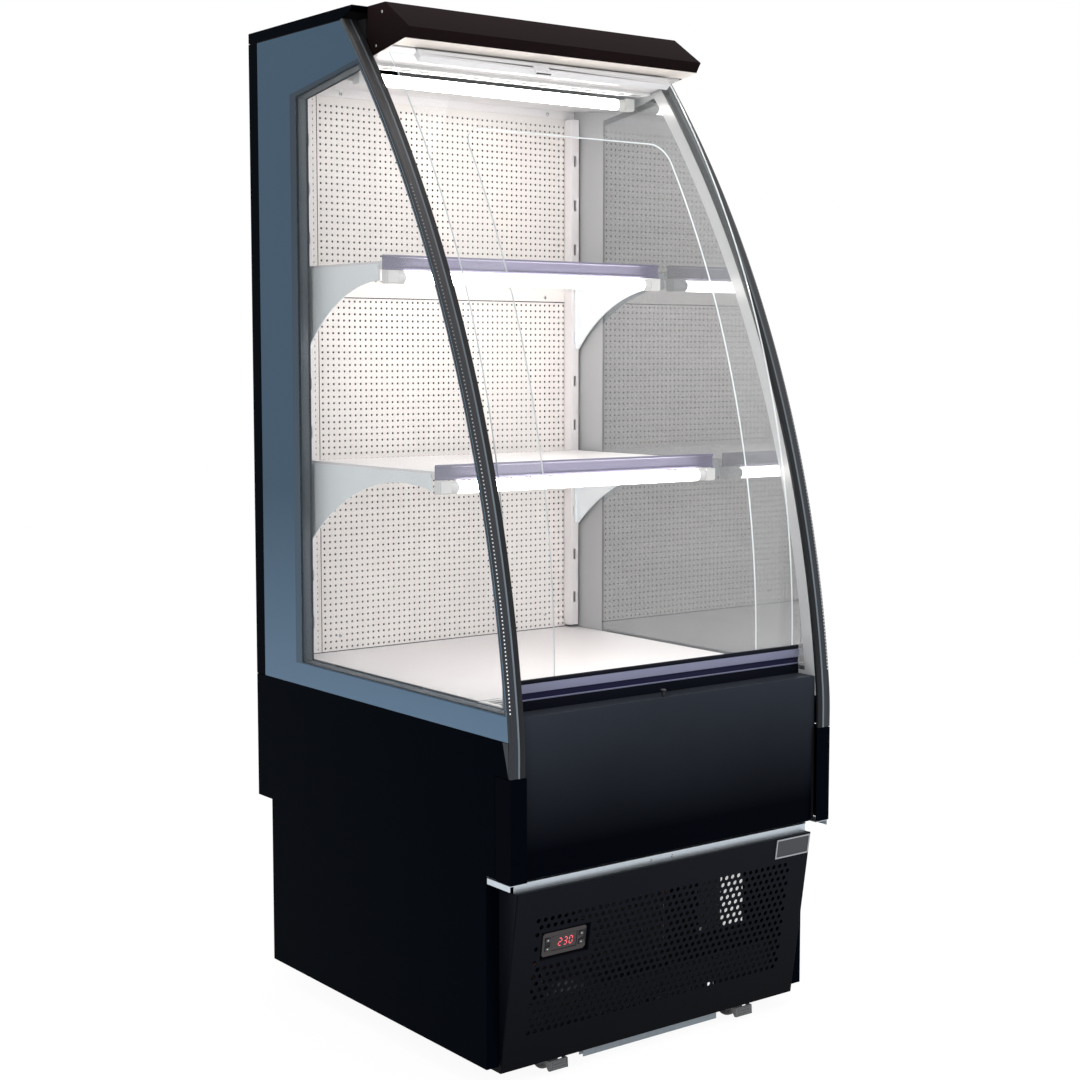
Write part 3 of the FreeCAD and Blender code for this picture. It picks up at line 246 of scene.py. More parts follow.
def smoothed(name, form, angle=35):
    """A form as a mesh with smooth curves, and sharp where it turns by more than the angle."""
    mesh = bpy.data.meshes.new(name)
    form.to_mesh(mesh)
    form.free()
    mesh.shade_smooth()
    mesh.set_sharp_from_angle(angle=math.radians(angle))
    return mesh


def rounded(piece, radius, angle=35):
    """Round a piece's sharp edges."""
    edge = piece.modifiers.new("rounded_edge", "BEVEL")
    edge.width = radius / 1000
    edge.segments = 2
    edge.limit_method = "ANGLE"
    edge.angle_limit = math.radians(angle)


def softened(name, node, finish, slot_name, radius, body="cabinet"):
    """A CAD node's form with its facets merged, its edges rounded and its curves smooth."""
    form = bmesh.new()
    form.from_mesh(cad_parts[node].data)
    bmesh.ops.remove_doubles(form, verts=form.verts, dist=1e-5)
    bmesh.ops.dissolve_limit(form, angle_limit=math.radians(0.5), verts=form.verts, edges=form.edges)
    piece = placed(name, smoothed(name, form), [finish], slot_name, node, body=body)
    rounded(piece, radius)
    return piece


def dress(material, *nodes):
    """Give CAD nodes their finish."""
    for name in nodes:
        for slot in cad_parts[name].material_slots:
            slot.material = material


black_coat = textured("black_powder_coat", coat_grain, 0.10, Color=(0.0006, 0.0016, 0.0036), Shade=0.5,
                      Grain=1100.0, Patch=4.0, Roughness=0.34, Spread=0.10, Dust=0.004,
                      Specular_IOR_Level=0.004)
for hand in ("left", "right"):
    softened("side_skin_" + hand, "side_panel_" + hand, black_coat, "black_steel", 0.4)


def geometry_group(name, inputs):
    """A geometry node tree with named inputs, that gives one geometry."""
    group = bpy.data.node_groups.new(name, "GeometryNodeTree")
    kinds = {float: "NodeSocketFloat", int: "NodeSocketInt", bool: "NodeSocketBool"}
    for title, value in inputs:
        if isinstance(value, str):
            group.interface.new_socket(title, in_out="INPUT", socket_type=value)
        else:
            socket = group.interface.new_socket(title, in_out="INPUT", socket_type=kinds[type(value)])
            socket.default_value = value
    group.interface.new_socket("Geometry", in_out="OUTPUT", socket_type="NodeSocketGeometry")
    return group, group.nodes.new("NodeGroupInput").outputs, group.nodes.new("NodeGroupOutput").inputs


def grown(name, group, values, base=None):
    """The plain mesh that a geometry tree gives, on top of a base mesh where it needs one."""
    holder = bpy.data.objects.new(name + "_holder", base or bpy.data.meshes.new(name + "_base"))
    bpy.context.scene.collection.objects.link(holder)
    modifier = holder.modifiers.new("tree", "NODES")
    modifier.node_group = group
    for item in group.interface.items_tree:
        if item.in_out == "INPUT" and item.name in values:
            modifier[item.identifier] = values[item.name]
    bpy.context.view_layer.update()
    result = bpy.data.meshes.new_from_object(holder.evaluated_get(bpy.context.evaluated_depsgraph_get()))
    result.name = name
    bpy.data.objects.remove(holder)
    return result


def facing_points(name, places):
    """Points with the direction that each one faces, from (place, facing) pairs."""
    base = bpy.data.meshes.new(name + "_points")
    base.from_pydata([place for place, facing in places], [], [])
    facings = base.attributes.new("facing", "FLOAT_VECTOR", "POINT")
    facings.data.foreach_set("vector", [value for place, facing in places for value in Vector(facing)])
    return base


def on_points(tree, points, shape):
    """A shape on each point, with its Z turned to the point's facing direction, made real."""
    attribute = add(tree, "GeometryNodeInputNamedAttribute", {"data_type": "FLOAT_VECTOR"}, Name="facing")
    turned = add(tree, "FunctionNodeAlignRotationToVector", {"axis": "Z"}, Vector=attribute.outputs[0])
    copies = add(tree, "GeometryNodeInstanceOnPoints", Points=points, Instance=shape,
                 Rotation=turned.outputs[0])
    return add(tree, "GeometryNodeRealizeInstances", Geometry=copies.outputs[0]).outputs[0]


def joined(tree, *parts):
    """Geometries joined into one."""
    union = add(tree, "GeometryNodeJoinGeometry")
    for part in parts:
        tree.links.new(part, union.inputs[0])
    return union.outputs[0]


def finished(tree, geometry, finish):
    """A geometry with its material set."""
    return add(tree, "GeometryNodeSetMaterial", Geometry=geometry, Material=finish).outputs[0]


# Small screws: a shallow domed head with a dark cross recess, on each point of a base mesh,
# turned to the point's "facing" attribute.
tree, given, made = geometry_group(
    "screw_heads", [("Points", "NodeSocketGeometry"), ("Head Radius", 3.0), ("Head Height", 1.0),
                    ("Finish", "NodeSocketMaterial"), ("Recess", "NodeSocketMaterial")])
screw_heads = tree
radius, rise = given["Head Radius"], given["Head Height"]
dome = add(tree, "GeometryNodeMeshCone", Vertices=20, Side_Segments=2, Radius_Bottom=radius, Depth=rise,
           Radius_Top=math_node(tree, "MULTIPLY", radius, 0.62))
arm_length, arm_width = (math_node(tree, "MULTIPLY", radius, share) for share in (0.9, 0.22))
arms = []
for long_side, short_side in ((arm_length, arm_width), (arm_width, arm_length)):
    size = add(tree, "ShaderNodeCombineXYZ", X=long_side, Y=short_side, Z=rise)
    arms.append(add(tree, "GeometryNodeMeshCube", Size=size.outputs[0]).outputs["Mesh"])
above = add(tree, "ShaderNodeCombineXYZ", Z=math_node(tree, "MULTIPLY", rise, 0.53))
cross = add(tree, "GeometryNodeTransform", Geometry=joined(tree, *arms), Translation=above.outputs[0])
head = joined(tree, finished(tree, cross.outputs[0], given["Recess"]),
              finished(tree, dome.outputs["Mesh"], given["Finish"]))
tree.links.new(on_points(tree, given["Points"], head), made[0])

bright_screw = textured("bright_screw", coat_grain, 0.1, Color=(0.62, 0.63, 0.64), Shade=0.3,
                        Grain=2500.0, Patch=300.0, Roughness=0.28, Spread=0.2, Metallic=1.0)
dark_recess = textured("dark_recess", coat_grain, 0.1, Color=(0.01, 0.01, 0.011), Shade=0.3, Grain=2500.0,
                       Roughness=0.6)


def screws(name, places, radius, height):
    """Screw heads at (place, facing) pairs, as one mesh on the cabinet."""
    values = {"Head Radius": radius / 1000, "Head Height": height / 1000, "Finish": bright_screw,
              "Recess": dark_recess}
    placed(name, grown(name, screw_heads, values, facing_points(name, places)), [], "zinc_steel")


screws("side_skin_screws", [(at(s * (half_width - 1.3), 90, 52), (s, 0, 0)) for s in (-1, 1)], 2.6, 1.2)

# ---------------------------------------------------------------- outer side panes
# Curved panes of 4 mm toughened glass, bonded between the posts and the rear cover. A slate blue ceramic
# print frames the clear window, with a darker band along the window's edge. Both prints are painted lighter
# low down and darker high up: a painted reflection of the bright floor and the darker room above.
tub_top, turn_radius, turn_angle, sweep_radius = 470, 460, math.radians(5.4), 1797


def curve_depth(z, offset):
    """Depth of the side walls' front edge at a height, moved back by an offset. The edge stands upright
    to the tub's top, leans back in a short turn and goes on in one long sweep."""
    if z <= tub_top:
        return offset
    if z < tub_top + (turn_radius - offset) * math.sin(turn_angle):
        return turn_radius - math.sqrt((turn_radius - offset) ** 2 - (z - tub_top) ** 2)
    reach = sweep_radius - turn_radius
    middle_depth = turn_radius + reach * math.cos(turn_angle)
    middle_z = tub_top - reach * math.sin(turn_angle)
    return middle_depth - math.sqrt((sweep_radius - offset) ** 2 - (z - middle_z) ** 2)


def front_line(offset, z0, z1, steps=60):
    """Points of (depth, height) up the side walls' front edge."""
    heights = [z0 + (z1 - z0) * i / steps for i in range(steps + 1)]
    return [(curve_depth(z, offset), z) for z in heights]


def pane(name, loops, x0, x1):
    """A flat pane between two planes across the cabinet, from nested outlines of (depth, height).
    Each outline's region has its own material slot, and the pane's edges have one more."""
    points, rings = [], []
    for loop in loops:
        rings.append(list(range(len(points), len(points) + len(loop))))
        points += [Vector(point) for point in reversed(loop)]
    flat, _, cells, _, _, owners = delaunay_2d_cdt(points, [], rings, 1, 1e-6)
    form = bmesh.new()
    for x in (x0, x1):
        for depth, z in flat:
            form.verts.new(at(x, depth, z))
    form.verts.ensure_lookup_table()
    count = len(flat)
    for cell, inside in zip(cells, owners):
        for corners in (cell, [i + count for i in cell]):
            form.faces.new([form.verts[i] for i in corners]).material_index = max(inside)
    form.verts.index_update()
    rim = [edge for edge in form.edges if edge.is_boundary and max(v.index for v in edge.verts) < count]
    for edge in rim:
        a, b = (v.index for v in edge.verts)
        side = form.faces.new([form.verts[i] for i in (a, b, b + count, a + count)])
        side.material_index = len(loops)
    bmesh.ops.dissolve_limit(form, angle_limit=0.001, verts=form.verts, edges=form.edges,
                             delimit={"MATERIAL"})
    bmesh.ops.recalc_face_normals(form, faces=form.faces)
    mesh = bpy.data.meshes.new(name)
    form.to_mesh(mesh)
    form.free()
    return mesh


# A coat whose colour changes with height, over the same grain as the sprayed coats.
graded_coat, given, made = surface_group("graded_coat", Low_Color=middle_grey, High_Color=middle_grey,
                                         Low=0.0, High=1.0, Shade=0.1, Grain=900.0, Patch=6.0,
                                         Roughness=0.4, Spread=0.08, Dust=0.0)
height = add(graded_coat, "ShaderNodeSeparateXYZ",
             Vector=add(graded_coat, "ShaderNodeTexCoord").outputs["Object"])
along = add(graded_coat, "ShaderNodeMapRange", Value=height.outputs["Z"], From_Min=given["Low"],
            From_Max=given["High"])
tone = blended(graded_coat, "RGBA", along.outputs["Result"], given["Low Color"], given["High Color"])
grain = add(graded_coat, "ShaderNodeGroup", {"node_tree": coat_grain}, Color=tone,
            **{key: given[key] for key in ("Shade", "Grain", "Patch", "Roughness", "Spread", "Dust")})
put_out(graded_coat, made, *(grain.outputs[key] for key in ("Color", "Roughness", "Height")))

# Wiped glass: faint streaks that change its tint and gloss.
wiped, given, made = surface_group("wiped_glass", Color=middle_grey, Shade=0.1, Roughness=0.03,
                                   Spread=0.04)
spot = add(wiped, "ShaderNodeMapping", Vector=add(wiped, "ShaderNodeTexCoord").outputs["Object"],
           Rotation=(0.3, 0.2, 0.4), Scale=(3.0, 3.0, 14.0))
streak = add(wiped, "ShaderNodeTexNoise", Vector=spot.outputs[0], Scale=2.2, Detail=4.0, Distortion=0.8)
put_out(wiped, made, *varied(wiped, given, streak.outputs["Fac"], 0.5), streak.outputs["Fac"])

# Painted reflection: each print's colour grades from Low Color at the foot to the darker High Color higher
# up.
grey_print_painted_reflection = textured("grey_ceramic_print_painted_reflection", graded_coat, 0.03, Low_Color=(0.110, 0.178, 0.262),
                      High_Color=(0.050, 0.092, 0.140), Low=0.5, High=0.8, Shade=0.10, Grain=1500.0,
                      Patch=2.0, Roughness=0.16, Spread=0.08, Specular_IOR_Level=0.04)
band_print_painted_reflection = textured("dark_print_band_painted_reflection", graded_coat, 0.03, Low_Color=(0.050, 0.088, 0.130),
                      High_Color=(0.022, 0.040, 0.060), Low=0.5, High=1.3, Shade=0.15, Grain=1500.0,
                      Patch=3.0, Roughness=0.18, Specular_IOR_Level=0.12)
clear_glass = textured("clear_side_glass", wiped, 0.02, Color=(0.50, 0.53, 0.54), Shade=0.20,
                       Roughness=0.025, Spread=0.02, Alpha=0.05, Metallic=0.8)
glass_edge = textured("ground_glass_edge", coat_grain, 0.2, Color=(0.30, 0.42, 0.42), Shade=0.3,
                      Grain=900.0, Patch=20.0, Roughness=0.35, Spread=0.2)

pane_foot, pane_top, pane_rear, pane_set_back, pane_thickness = 497, 1493, 668, 5.5, 4
# The window's top slopes down behind its shoulder, and the dark band lies round it.
window_foot, window_top, window_rear, window_set_back, shoulder, shoulder_top = 533, 1426, 549, 8, 420, 1418
band_foot, band_top, band_rear, band_set_back = 531, 1433, 568, 6.5
outline = front_line(pane_set_back, pane_foot, pane_top) + [(pane_rear, pane_top), (pane_rear, pane_foot)]
band = front_line(band_set_back, band_foot, band_top)
band += [(shoulder, shoulder_top + 7), (band_rear, 1403.2), (band_rear, band_foot)]
window = front_line(window_set_back, window_foot, window_top)
window += [(shoulder, shoulder_top), (window_rear, 1398), (window_rear, window_foot)]
for side, hand in ((-1, "left"), (1, "right")):
    mesh = pane("outer_pane_" + hand, [outline, band, window], side * half_width,
                side * (half_width - pane_thickness))
    placed("outer_pane_" + hand, mesh, [grey_print_painted_reflection, band_print_painted_reflection, clear_glass, glass_edge], "printed_glass",
           "outer_glass_" + hand)

# ---------------------------------------------------------------- inner side panes
# A second curved pane on each side, 17 mm inside the first. A print on it, dark on the left and
# pale on the right, covers the spacer that seals the gap.
spacer_print = textured("pale_spacer_print", coat_grain, 0.03, Color=(0.40, 0.41, 0.42), Shade=0.2,
                        Grain=1200.0, Patch=3.0, Roughness=0.2, Spread=0.1, Specular_IOR_Level=0.3)
# The face towards the shelves has a coating that mirrors the lit inside and hardly dims the view in.
coated_glass = textured("coated_inner_glass", wiped, 0.02, Color=(0.24, 0.25, 0.26), Shade=0.30,
                        Roughness=0.03, Spread=0.03, Metallic=0.9)
tree = coated_glass.node_tree
from_behind = add(tree, "ShaderNodeNewGeometry").outputs["Backfacing"]
seen_inside = add(tree, "ShaderNodeMath", {"operation": "SUBTRACT", "use_clamp": True},
                  i0=add(tree, "ShaderNodeLightPath").outputs["Is Camera Ray"], i1=from_behind)
tree.links.new(blended(tree, "FLOAT", seen_inside.outputs[0], 0.05, 0.80),
               tree.nodes["Principled BSDF"].inputs["Alpha"])
inner_rear, inner_x, inner_set_back = 648, 279, 26
inner_outline = front_line(pane_set_back, pane_foot, pane_top)
inner_outline += [(inner_rear, pane_top), (inner_rear, pane_foot)]
# side, hand, print, depth and top of the window's rear edge
for side, hand, window_print, rear, top in ((-1, "left", band_print_painted_reflection, 556, 1397),
                                            (1, "right", spacer_print, 520, 1402.5)):
    window = front_line(inner_set_back, window_foot, window_top)
    window += [(shoulder, shoulder_top), (rear, top), (rear, window_foot)]
    mesh = pane("inner_pane_" + hand, [inner_outline, window], side * inner_x,
                side * (inner_x - pane_thickness))
    for face in mesh.polygons:
        if face.material_index == 1 and face.normal.x * side < -0.5:
            face.material_index = 3
    piece = placed("inner_pane_" + hand, mesh, [window_print, clear_glass, glass_edge, coated_glass],
                   "clear_glass")
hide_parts("inner_glass")
spacer_sealant = textured("spacer_sealant", coat_grain, 0.3, Color=(0.030, 0.046, 0.062), Shade=0.4,
                          Grain=500.0, Roughness=0.55)
dress(spacer_sealant, "glass_spacers")

# ---------------------------------------------------------------- front posts
# Extruded charcoal trims, clipped over the front edges of the panes: a rounded outer corner, a wide flat
# band and a shallow darker groove with a light strip at its edge, closed by a wedge at the foot. The light
# strip is a painted highlight, and the band and the groove are painted lighter towards the top as painted
# light from above.


def prism(form, outline, x0, x1, slot_index=0):
    """Add an outline of (depth, height) points, extruded across the cabinet."""
    ends = [[form.verts.new(at(x, d, z)) for d, z in outline] for x in (x0, x1)]
    faces = [form.faces.new(ends[0]), form.faces.new(ends[1][::-1])]
    for i in range(len(outline)):
        k = (i + 1) % len(outline)
        faces.append(form.faces.new([ends[0][i], ends[1][i], ends[1][k], ends[0][k]]))
    for face in faces:
        face.material_index = slot_index


def bar(form, d0, d1, z0, z1, x0, x1, slot_index=0):
    """Add a square-cornered bar across the cabinet."""
    prism(form, [(d0, z0), (d1, z0), (d1, z1), (d0, z1)], x0, x1, slot_index)


def built(name, form, finish, slot_name, *nodes, body="cabinet", angle=35):
    """A form's mesh with its faces turned outwards, placed on its body."""
    bmesh.ops.recalc_face_normals(form, faces=form.faces)
    return placed(name, smoothed(name, form, angle), finish, slot_name, *nodes, body=body)


# Painted light: the band's colour grades lighter towards the top.
charcoal = textured("charcoal_trim", graded_coat, 0.1, Low_Color=(0.020, 0.024, 0.030),
                    High_Color=(0.042, 0.040, 0.042), Low=0.6, High=1.45, Shade=0.3, Grain=1400.0,
                    Patch=5.0, Roughness=0.35, Spread=0.1, Specular_IOR_Level=0.25)
# A painted highlight: a light strip that stands for the glint along the groove's edge, brighter low down.
edge_highlight_paint = textured("painted_edge_highlight", graded_coat, 0.05, Low_Color=(0.12, 0.15, 0.18),
                High_Color=(0.08, 0.09, 0.10), Low=0.6, High=1.2, Shade=0.3, Grain=1400.0, Patch=9.0,
                Roughness=0.25)
# The groove's colour also grades lighter towards the top, as painted light.
groove = textured("dark_groove", graded_coat, 0.1, Low_Color=(0.006, 0.007, 0.009),
                  High_Color=(0.016, 0.016, 0.018), Low=0.6, High=1.45, Shade=0.3, Grain=1400.0,
                  Roughness=0.4, Specular_IOR_Level=0.2)
# across the post from the outer side: (distance from the outer side, set back from the front, slot)
post_section = [(0, 5, 0), (0, 1.1, 0), (0.4, 0.3, 0), (1.1, 0, 0), (4, 0, 0), (4.5, 0.4, 0),
                (12.6, 0.4, 1), (13, 0, 1), (15.2, 0, 1), (15.8, 0.6, 2), (23.6, 0.6, 2), (24.4, 0.9, 2),
                (25, 1.6, 2), (25, 5, 0)]
post_foot, post_top, post_steps = 448, 1495, 120
heights = [post_foot + (post_top - post_foot) * i / post_steps for i in range(post_steps + 1)]
for side, hand in ((-1, "left"), (1, "right")):
    form = bmesh.new()
    rows = [[form.verts.new(at(side * (half_width - across), curve_depth(z, back), z))
             for across, back, _ in post_section] for z in heights]
    for low, high in zip(rows, rows[1:]):
        for i, (_, _, slot_index) in enumerate(post_section):
            k = (i + 1) % len(post_section)
            form.faces.new([low[i], low[k], high[k], high[i]]).material_index = slot_index
    for row in (rows[0], rows[-1]):
        form.faces.new(row)
    prism(form, [(4, 448), (5, 448), (18.6, 496), (4, 496)], side * (half_width - 16), side * half_width)
    piece = built("front_post_" + hand, form, [charcoal, edge_highlight_paint, groove], "charcoal_trim")
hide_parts("front_posts")

# A row of small round dots printed along each post's outer corner, dense and bright low down.
printed_dots, given, made = geometry_group(
    "printed_dots", [("Points", "NodeSocketGeometry"), ("Radius", 1.0), ("Height", 0.1),
                     ("Finish", "NodeSocketMaterial")])
drop = add(printed_dots, "GeometryNodeMeshCone", Vertices=10, Radius_Bottom=given["Radius"],
           Radius_Top=math_node(printed_dots, "MULTIPLY", given["Radius"], 0.7), Depth=given["Height"])
row = on_points(printed_dots, given["Points"], drop.outputs["Mesh"])
printed_dots.links.new(finished(printed_dots, row, given["Finish"]), made[0])
dot_print = textured("dot_print", graded_coat, 0.02, Low_Color=(0.90, 0.92, 0.94),
                     High_Color=(0.16, 0.17, 0.18), Low=0.62, High=1.0, Shade=0.2, Grain=1400.0,
                     Roughness=0.4)
dot_count, first_dot, dot_pitch, dot_inset = 140, 536, 5.1, 2.4
for side, hand in ((-1, "left"), (1, "right")):
    places = []
    for z in (first_dot + dot_pitch * i for i in range(dot_count)):
        slope = (curve_depth(z + 1, 0) - curve_depth(z - 1, 0)) / 2
        places.append((at(side * (half_width - dot_inset), curve_depth(z, 0), z), (0, -1, slope)))
    values = {"Radius": 0.00115, "Height": 0.0002, "Finish": dot_print}
    mesh = grown("post_dots_" + hand, printed_dots, values, facing_points("post_dots", places))
    placed("post_dots_" + hand, mesh, [], "charcoal_trim")

# ---------------------------------------------------------------- corner covers and front panel
# Folded steel in the same black powder coat, a little glossier at the front. The front panel's colour is
# painted lighter towards the top, a painted sheen of the lamps. The covers hook over the ends of the panel
# and hide the joint between the post and the lower body.
# Painted sheen: the colour grades from near black at the foot to a lighter grey-blue at the top.
front_coat = textured("black_front_coat_painted_sheen", graded_coat, 0.10, Low_Color=(0.0004, 0.0010, 0.0028),
                      High_Color=(0.0300, 0.0350, 0.0460), Low=0.34, High=0.57, Shade=0.5, Grain=1100.0,
                      Patch=5.0, Roughness=0.30, Spread=0.10, Dust=0.02, Specular_IOR_Level=0.01)
cover_coat = textured("black_cover_coat", coat_grain, 0.12, Color=(0.0012, 0.0018, 0.0042), Shade=0.4,
                      Grain=1100.0, Patch=7.0, Roughness=0.36, Spread=0.10, Specular_IOR_Level=0.004)
softened("corner_angles", "corner_covers", cover_coat, "black_steel", 0.5)
softened("front_skin", "front_panel", front_coat, "black_steel", 0.6)

# ---------------------------------------------------------------- rear and roof covers
# Black powder-coated sheet, flanged over the panes at the back and the top. Three columns of
# domed screws fix the rear cover to the posts behind it.
softened("rear_skin", "rear_cover", black_coat, "black_steel", 0.5)
softened("roof_skin", "roof_cover", black_coat, "black_steel", 0.6)
rear_face = 2 * half_depth - 0.9
screws("rear_skin_screws", [(at(x, rear_face, z), (0, 1, 0)) for x in (-285, 0, 285)
                            for z in (520, 840, 1160, 1478)], 3.2, 0.8)

# ---------------------------------------------------------------- insulation
# Foam slabs between the skins, faced with black film that shows the foam's small pits. They
# are cut to fit and held by the skins.
foam_facing = textured("foam_facing", coat_grain, 0.8, depth=0.001, Color=(0.014, 0.014, 0.015),
                       Shade=0.5, Grain=260.0, Patch=14.0, Roughness=0.7, Spread=0.2,
                       Specular_IOR_Level=0.1)
dress(foam_facing, "roof_insulation", "back_insulation", "tub_insulation")

# ---------------------------------------------------------------- hood
# Folded fascia and soffit under the roof's front edge. The fascia is dark brown-black outside and pale
# underneath, and the soffit is sprayed white. The fascia's outside is painted a little lighter towards the
# top, as painted light from above.
# Painted light: the outside grades lighter towards the top of the fascia.
hood_coat_painted_light = textured("hood_coat_painted_light", graded_coat, 0.1, Low_Color=(0.008, 0.005, 0.005),
                     High_Color=(0.015, 0.009, 0.010), Low=1.44, High=1.51, Shade=0.3, Grain=1100.0,
                     Patch=6.0, Roughness=0.4, Spread=0.1, Specular_IOR_Level=0.004)
hood_inside = textured("pale_hood_underside", coat_grain, 0.15, Color=(0.92, 0.86, 0.80), Shade=0.12,
                       Grain=1100.0, Patch=5.0, Roughness=0.4, Spread=0.1)
white_coat = textured("white_powder_coat", coat_grain, 0.15, Color=(0.80, 0.78, 0.79), Shade=0.10,
                      Grain=1100.0, Patch=5.0, Roughness=0.38, Spread=0.1, Dust=0.15)
white_plastic = textured("white_moulding", coat_grain, 0.1, Color=(0.80, 0.80, 0.79), Shade=0.08,
                         Grain=1800.0, Patch=8.0, Roughness=0.45, Spread=0.1)


def assigned(piece, materials, rule):
    """Give each face of a piece the material whose index the rule finds from its middle, in
    (across, depth, height) millimetres, and its normal."""
    piece.data.materials.clear()
    for material in materials:
        piece.data.materials.append(material)
    for face in piece.data.polygons:
        middle = face.center
        place = (middle.x * 1000, middle.y * 1000 + half_depth, middle.z * 1000)
        face.material_index = int(rule(place, face.normal))


cap_inner_x = 272
piece = softened("hood_skin", "hood_fascia", hood_coat_painted_light, "black_steel", 0.5)
assigned(piece, [hood_coat_painted_light, hood_inside],
         lambda place, normal: normal.z < -0.9 and abs(place[0]) < cap_inner_x)
softened("soffit_skin", "hood_soffit", white_coat, "white_steel", 0.4)
softened("discharge_nozzle", "air_discharge", white_plastic, "white_plastic", 0.3)
screws("hood_cap_screws", [(at(s * (cap_inner_x + 1.7), d, z), (s, 0, 0)) for s in (-1, 1)
                           for d, z in ((345, 1498), (362, 1452))], 2.4, 0.8)

# ---------------------------------------------------------------- night blind
# A spring roller behind the fascia with a film on it. The film runs through the slot to a white
# extruded bar with a black pull handle, and the bar travels on an arc just outside the guard.
arc_depth, arc_z = 1495, 572   # the centre that the guard, the bar and the film share


def turning(form, base, axis, section, sides, slots=None):
    """Add a turned form along X, Y or Z: the section lists (distance along the axis, radius) from
    end to end, and slots gives each step its material. A radius of 0 closes an end."""
    turn = Vector((0, 0, 1)).rotation_difference(Vector(axis)).to_matrix()
    rings = []
    for along, radius in section:
        count = sides if radius > 0 else 1
        angles = [2 * math.pi * i / count for i in range(count)]
        ring = [Vector((radius * math.cos(angle), radius * math.sin(angle), along)) for angle in angles]
        rings.append([form.verts.new(base + turn @ (point / 1000)) for point in ring])
    for step, (low, high) in enumerate(zip(rings, rings[1:])):
        for i in range(sides):
            k = (i + 1) % sides
            corners = [low[i % len(low)], low[k % len(low)], high[k % len(high)], high[i % len(high)]]
            face = form.faces.new(list(dict.fromkeys(corners)))
            face.material_index = slots[step] if slots else 0


def on_arc(turn, radius):
    """Depth and height at an angle above the level, in radians, round the blind's centre."""
    return arc_depth - radius * math.cos(turn), arc_z + radius * math.sin(turn)


bar_white = textured("bar_white_coat", coat_grain, 0.08, Color=(0.72, 0.72, 0.74), Shade=0.1,
                     Grain=1500.0, Patch=9.0, Roughness=0.35, Spread=0.1)
black_plastic = textured("black_moulding", coat_grain, 0.25, Color=(0.010, 0.010, 0.011), Shade=0.4,
                         Grain=2600.0, Patch=30.0, Roughness=0.48, Spread=0.15, Dust=0.06)
film_print = textured("blind_film", coat_grain, 0.3, Color=(0.58, 0.60, 0.62), Shade=0.15, Grain=700.0,
                      Patch=12.0, Roughness=0.42, Spread=0.15, Metallic=0.5)
piece = softened("blind_pull_bar", "blind_bar", bar_white, "white_plastic", 0.4, body="blind_bar")
assigned(piece, [bar_white, black_plastic], lambda place, normal: -35 < place[0] < -5 and place[2] < 1429)

form = bmesh.new()
roller_section = [(0, 0), (0, 12.6), (0.6, 13), (5.4, 13), (6, 13.4), (6, 15.3), (474, 15.3), (474, 13.4),
                  (474.6, 13), (479.4, 13), (480, 12.6), (480, 0)]
pin_section = [(0, 0), (0, 3.6), (0.4, 4), (13.6, 4), (14, 3.6), (14, 0)]
turning(form, at(-240, 317, 1472), (1, 0, 0), roller_section, 48, [1] * 5 + [0] + [1] * 5)
for x in (-254, 240):
    turning(form, at(x, 317, 1472), (1, 0, 0), pin_section, 20, [1] * 5)
built("film_roller", form, [film_print, black_plastic], "blind_film", "blind_roller", body="blind_roller")

# The film's visible strip starts 7.7 mm past the bar and ends at the slot, 32.8 mm past it. It has many
# rows.
film_radius, film_half, degree_length = 1464.7, 234, 25.57
rows, columns = 220, 24
bar_angle = math.degrees(math.asin((1436 - arc_z) / 1465))
first, last = (bar_angle + length / degree_length for length in (7.7, 32.8))
form = bmesh.new()
grid = []
for i in range(rows + 1):
    place = on_arc(math.radians(first + (last - first) * i / rows), film_radius)
    grid.append([form.verts.new(at(film_half * (2 * k / columns - 1), *place)) for k in range(columns + 1)])
for low, high in zip(grid, grid[1:]):
    for k in range(columns):
        form.faces.new([low[k], low[k + 1], high[k + 1], high[k]])
film = bpy.data.objects.new("blind_film_strip", smoothed("blind_film_strip", form))
film.data.materials.append(film_print)
bpy.context.scene.collection.objects.link(film)
thick = film.modifiers.new("film_thickness", "SOLIDIFY")
thick.thickness = 0.0004
thick.offset = 0
top, foot = (tuple(at(0, *on_arc(math.radians(angle), film_radius))) for angle in (last, first))
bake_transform(film)
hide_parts("blind_film")
softened("blind_fixings", "blind_fittings", black_plastic, "black_plastic", 0.4)

# ---------------------------------------------------------------- ceiling
# A false ceiling of white sheet that falls to the front. Two screws hold its flange to the top
# of the rear panel.
softened("ceiling_sheet", "ceiling_panel", white_coat, "white_steel", 0.4)
screws("ceiling_screws", [(at(x, 597.4, 1417), (0, -1, 0)) for x in (-191.6, 216)], 3.4, 1.2)

# ---------------------------------------------------------------- perforated rear panel
# Four sheets of 1 mm white steel with a grid of small holes. The narrow side sheets and the lap
# between the upper and the lower sheet show as thin seams, and screws hold them.
tree, given, made = geometry_group(
    "perforated_sheet",
    [("Width", 1.0), ("Height", 1.0), ("Columns", 2), ("Rows", 2), ("Pitch X", 0.01), ("Pitch Y", 0.01),
     ("Stagger", 0.0), ("Hole Radius", 0.002), ("Sides", 8), ("Thickness", 0.001), ("Offset X", 0.0),
     ("Offset Y", 0.0), ("Bands", 1), ("Has Pocket", False), ("Pocket X", 0.0), ("Pocket Y", 0.0),
     ("Pocket Width", 0.01), ("Pocket Height", 0.01), ("Finish", "NodeSocketMaterial")])
perforated_sheet = tree
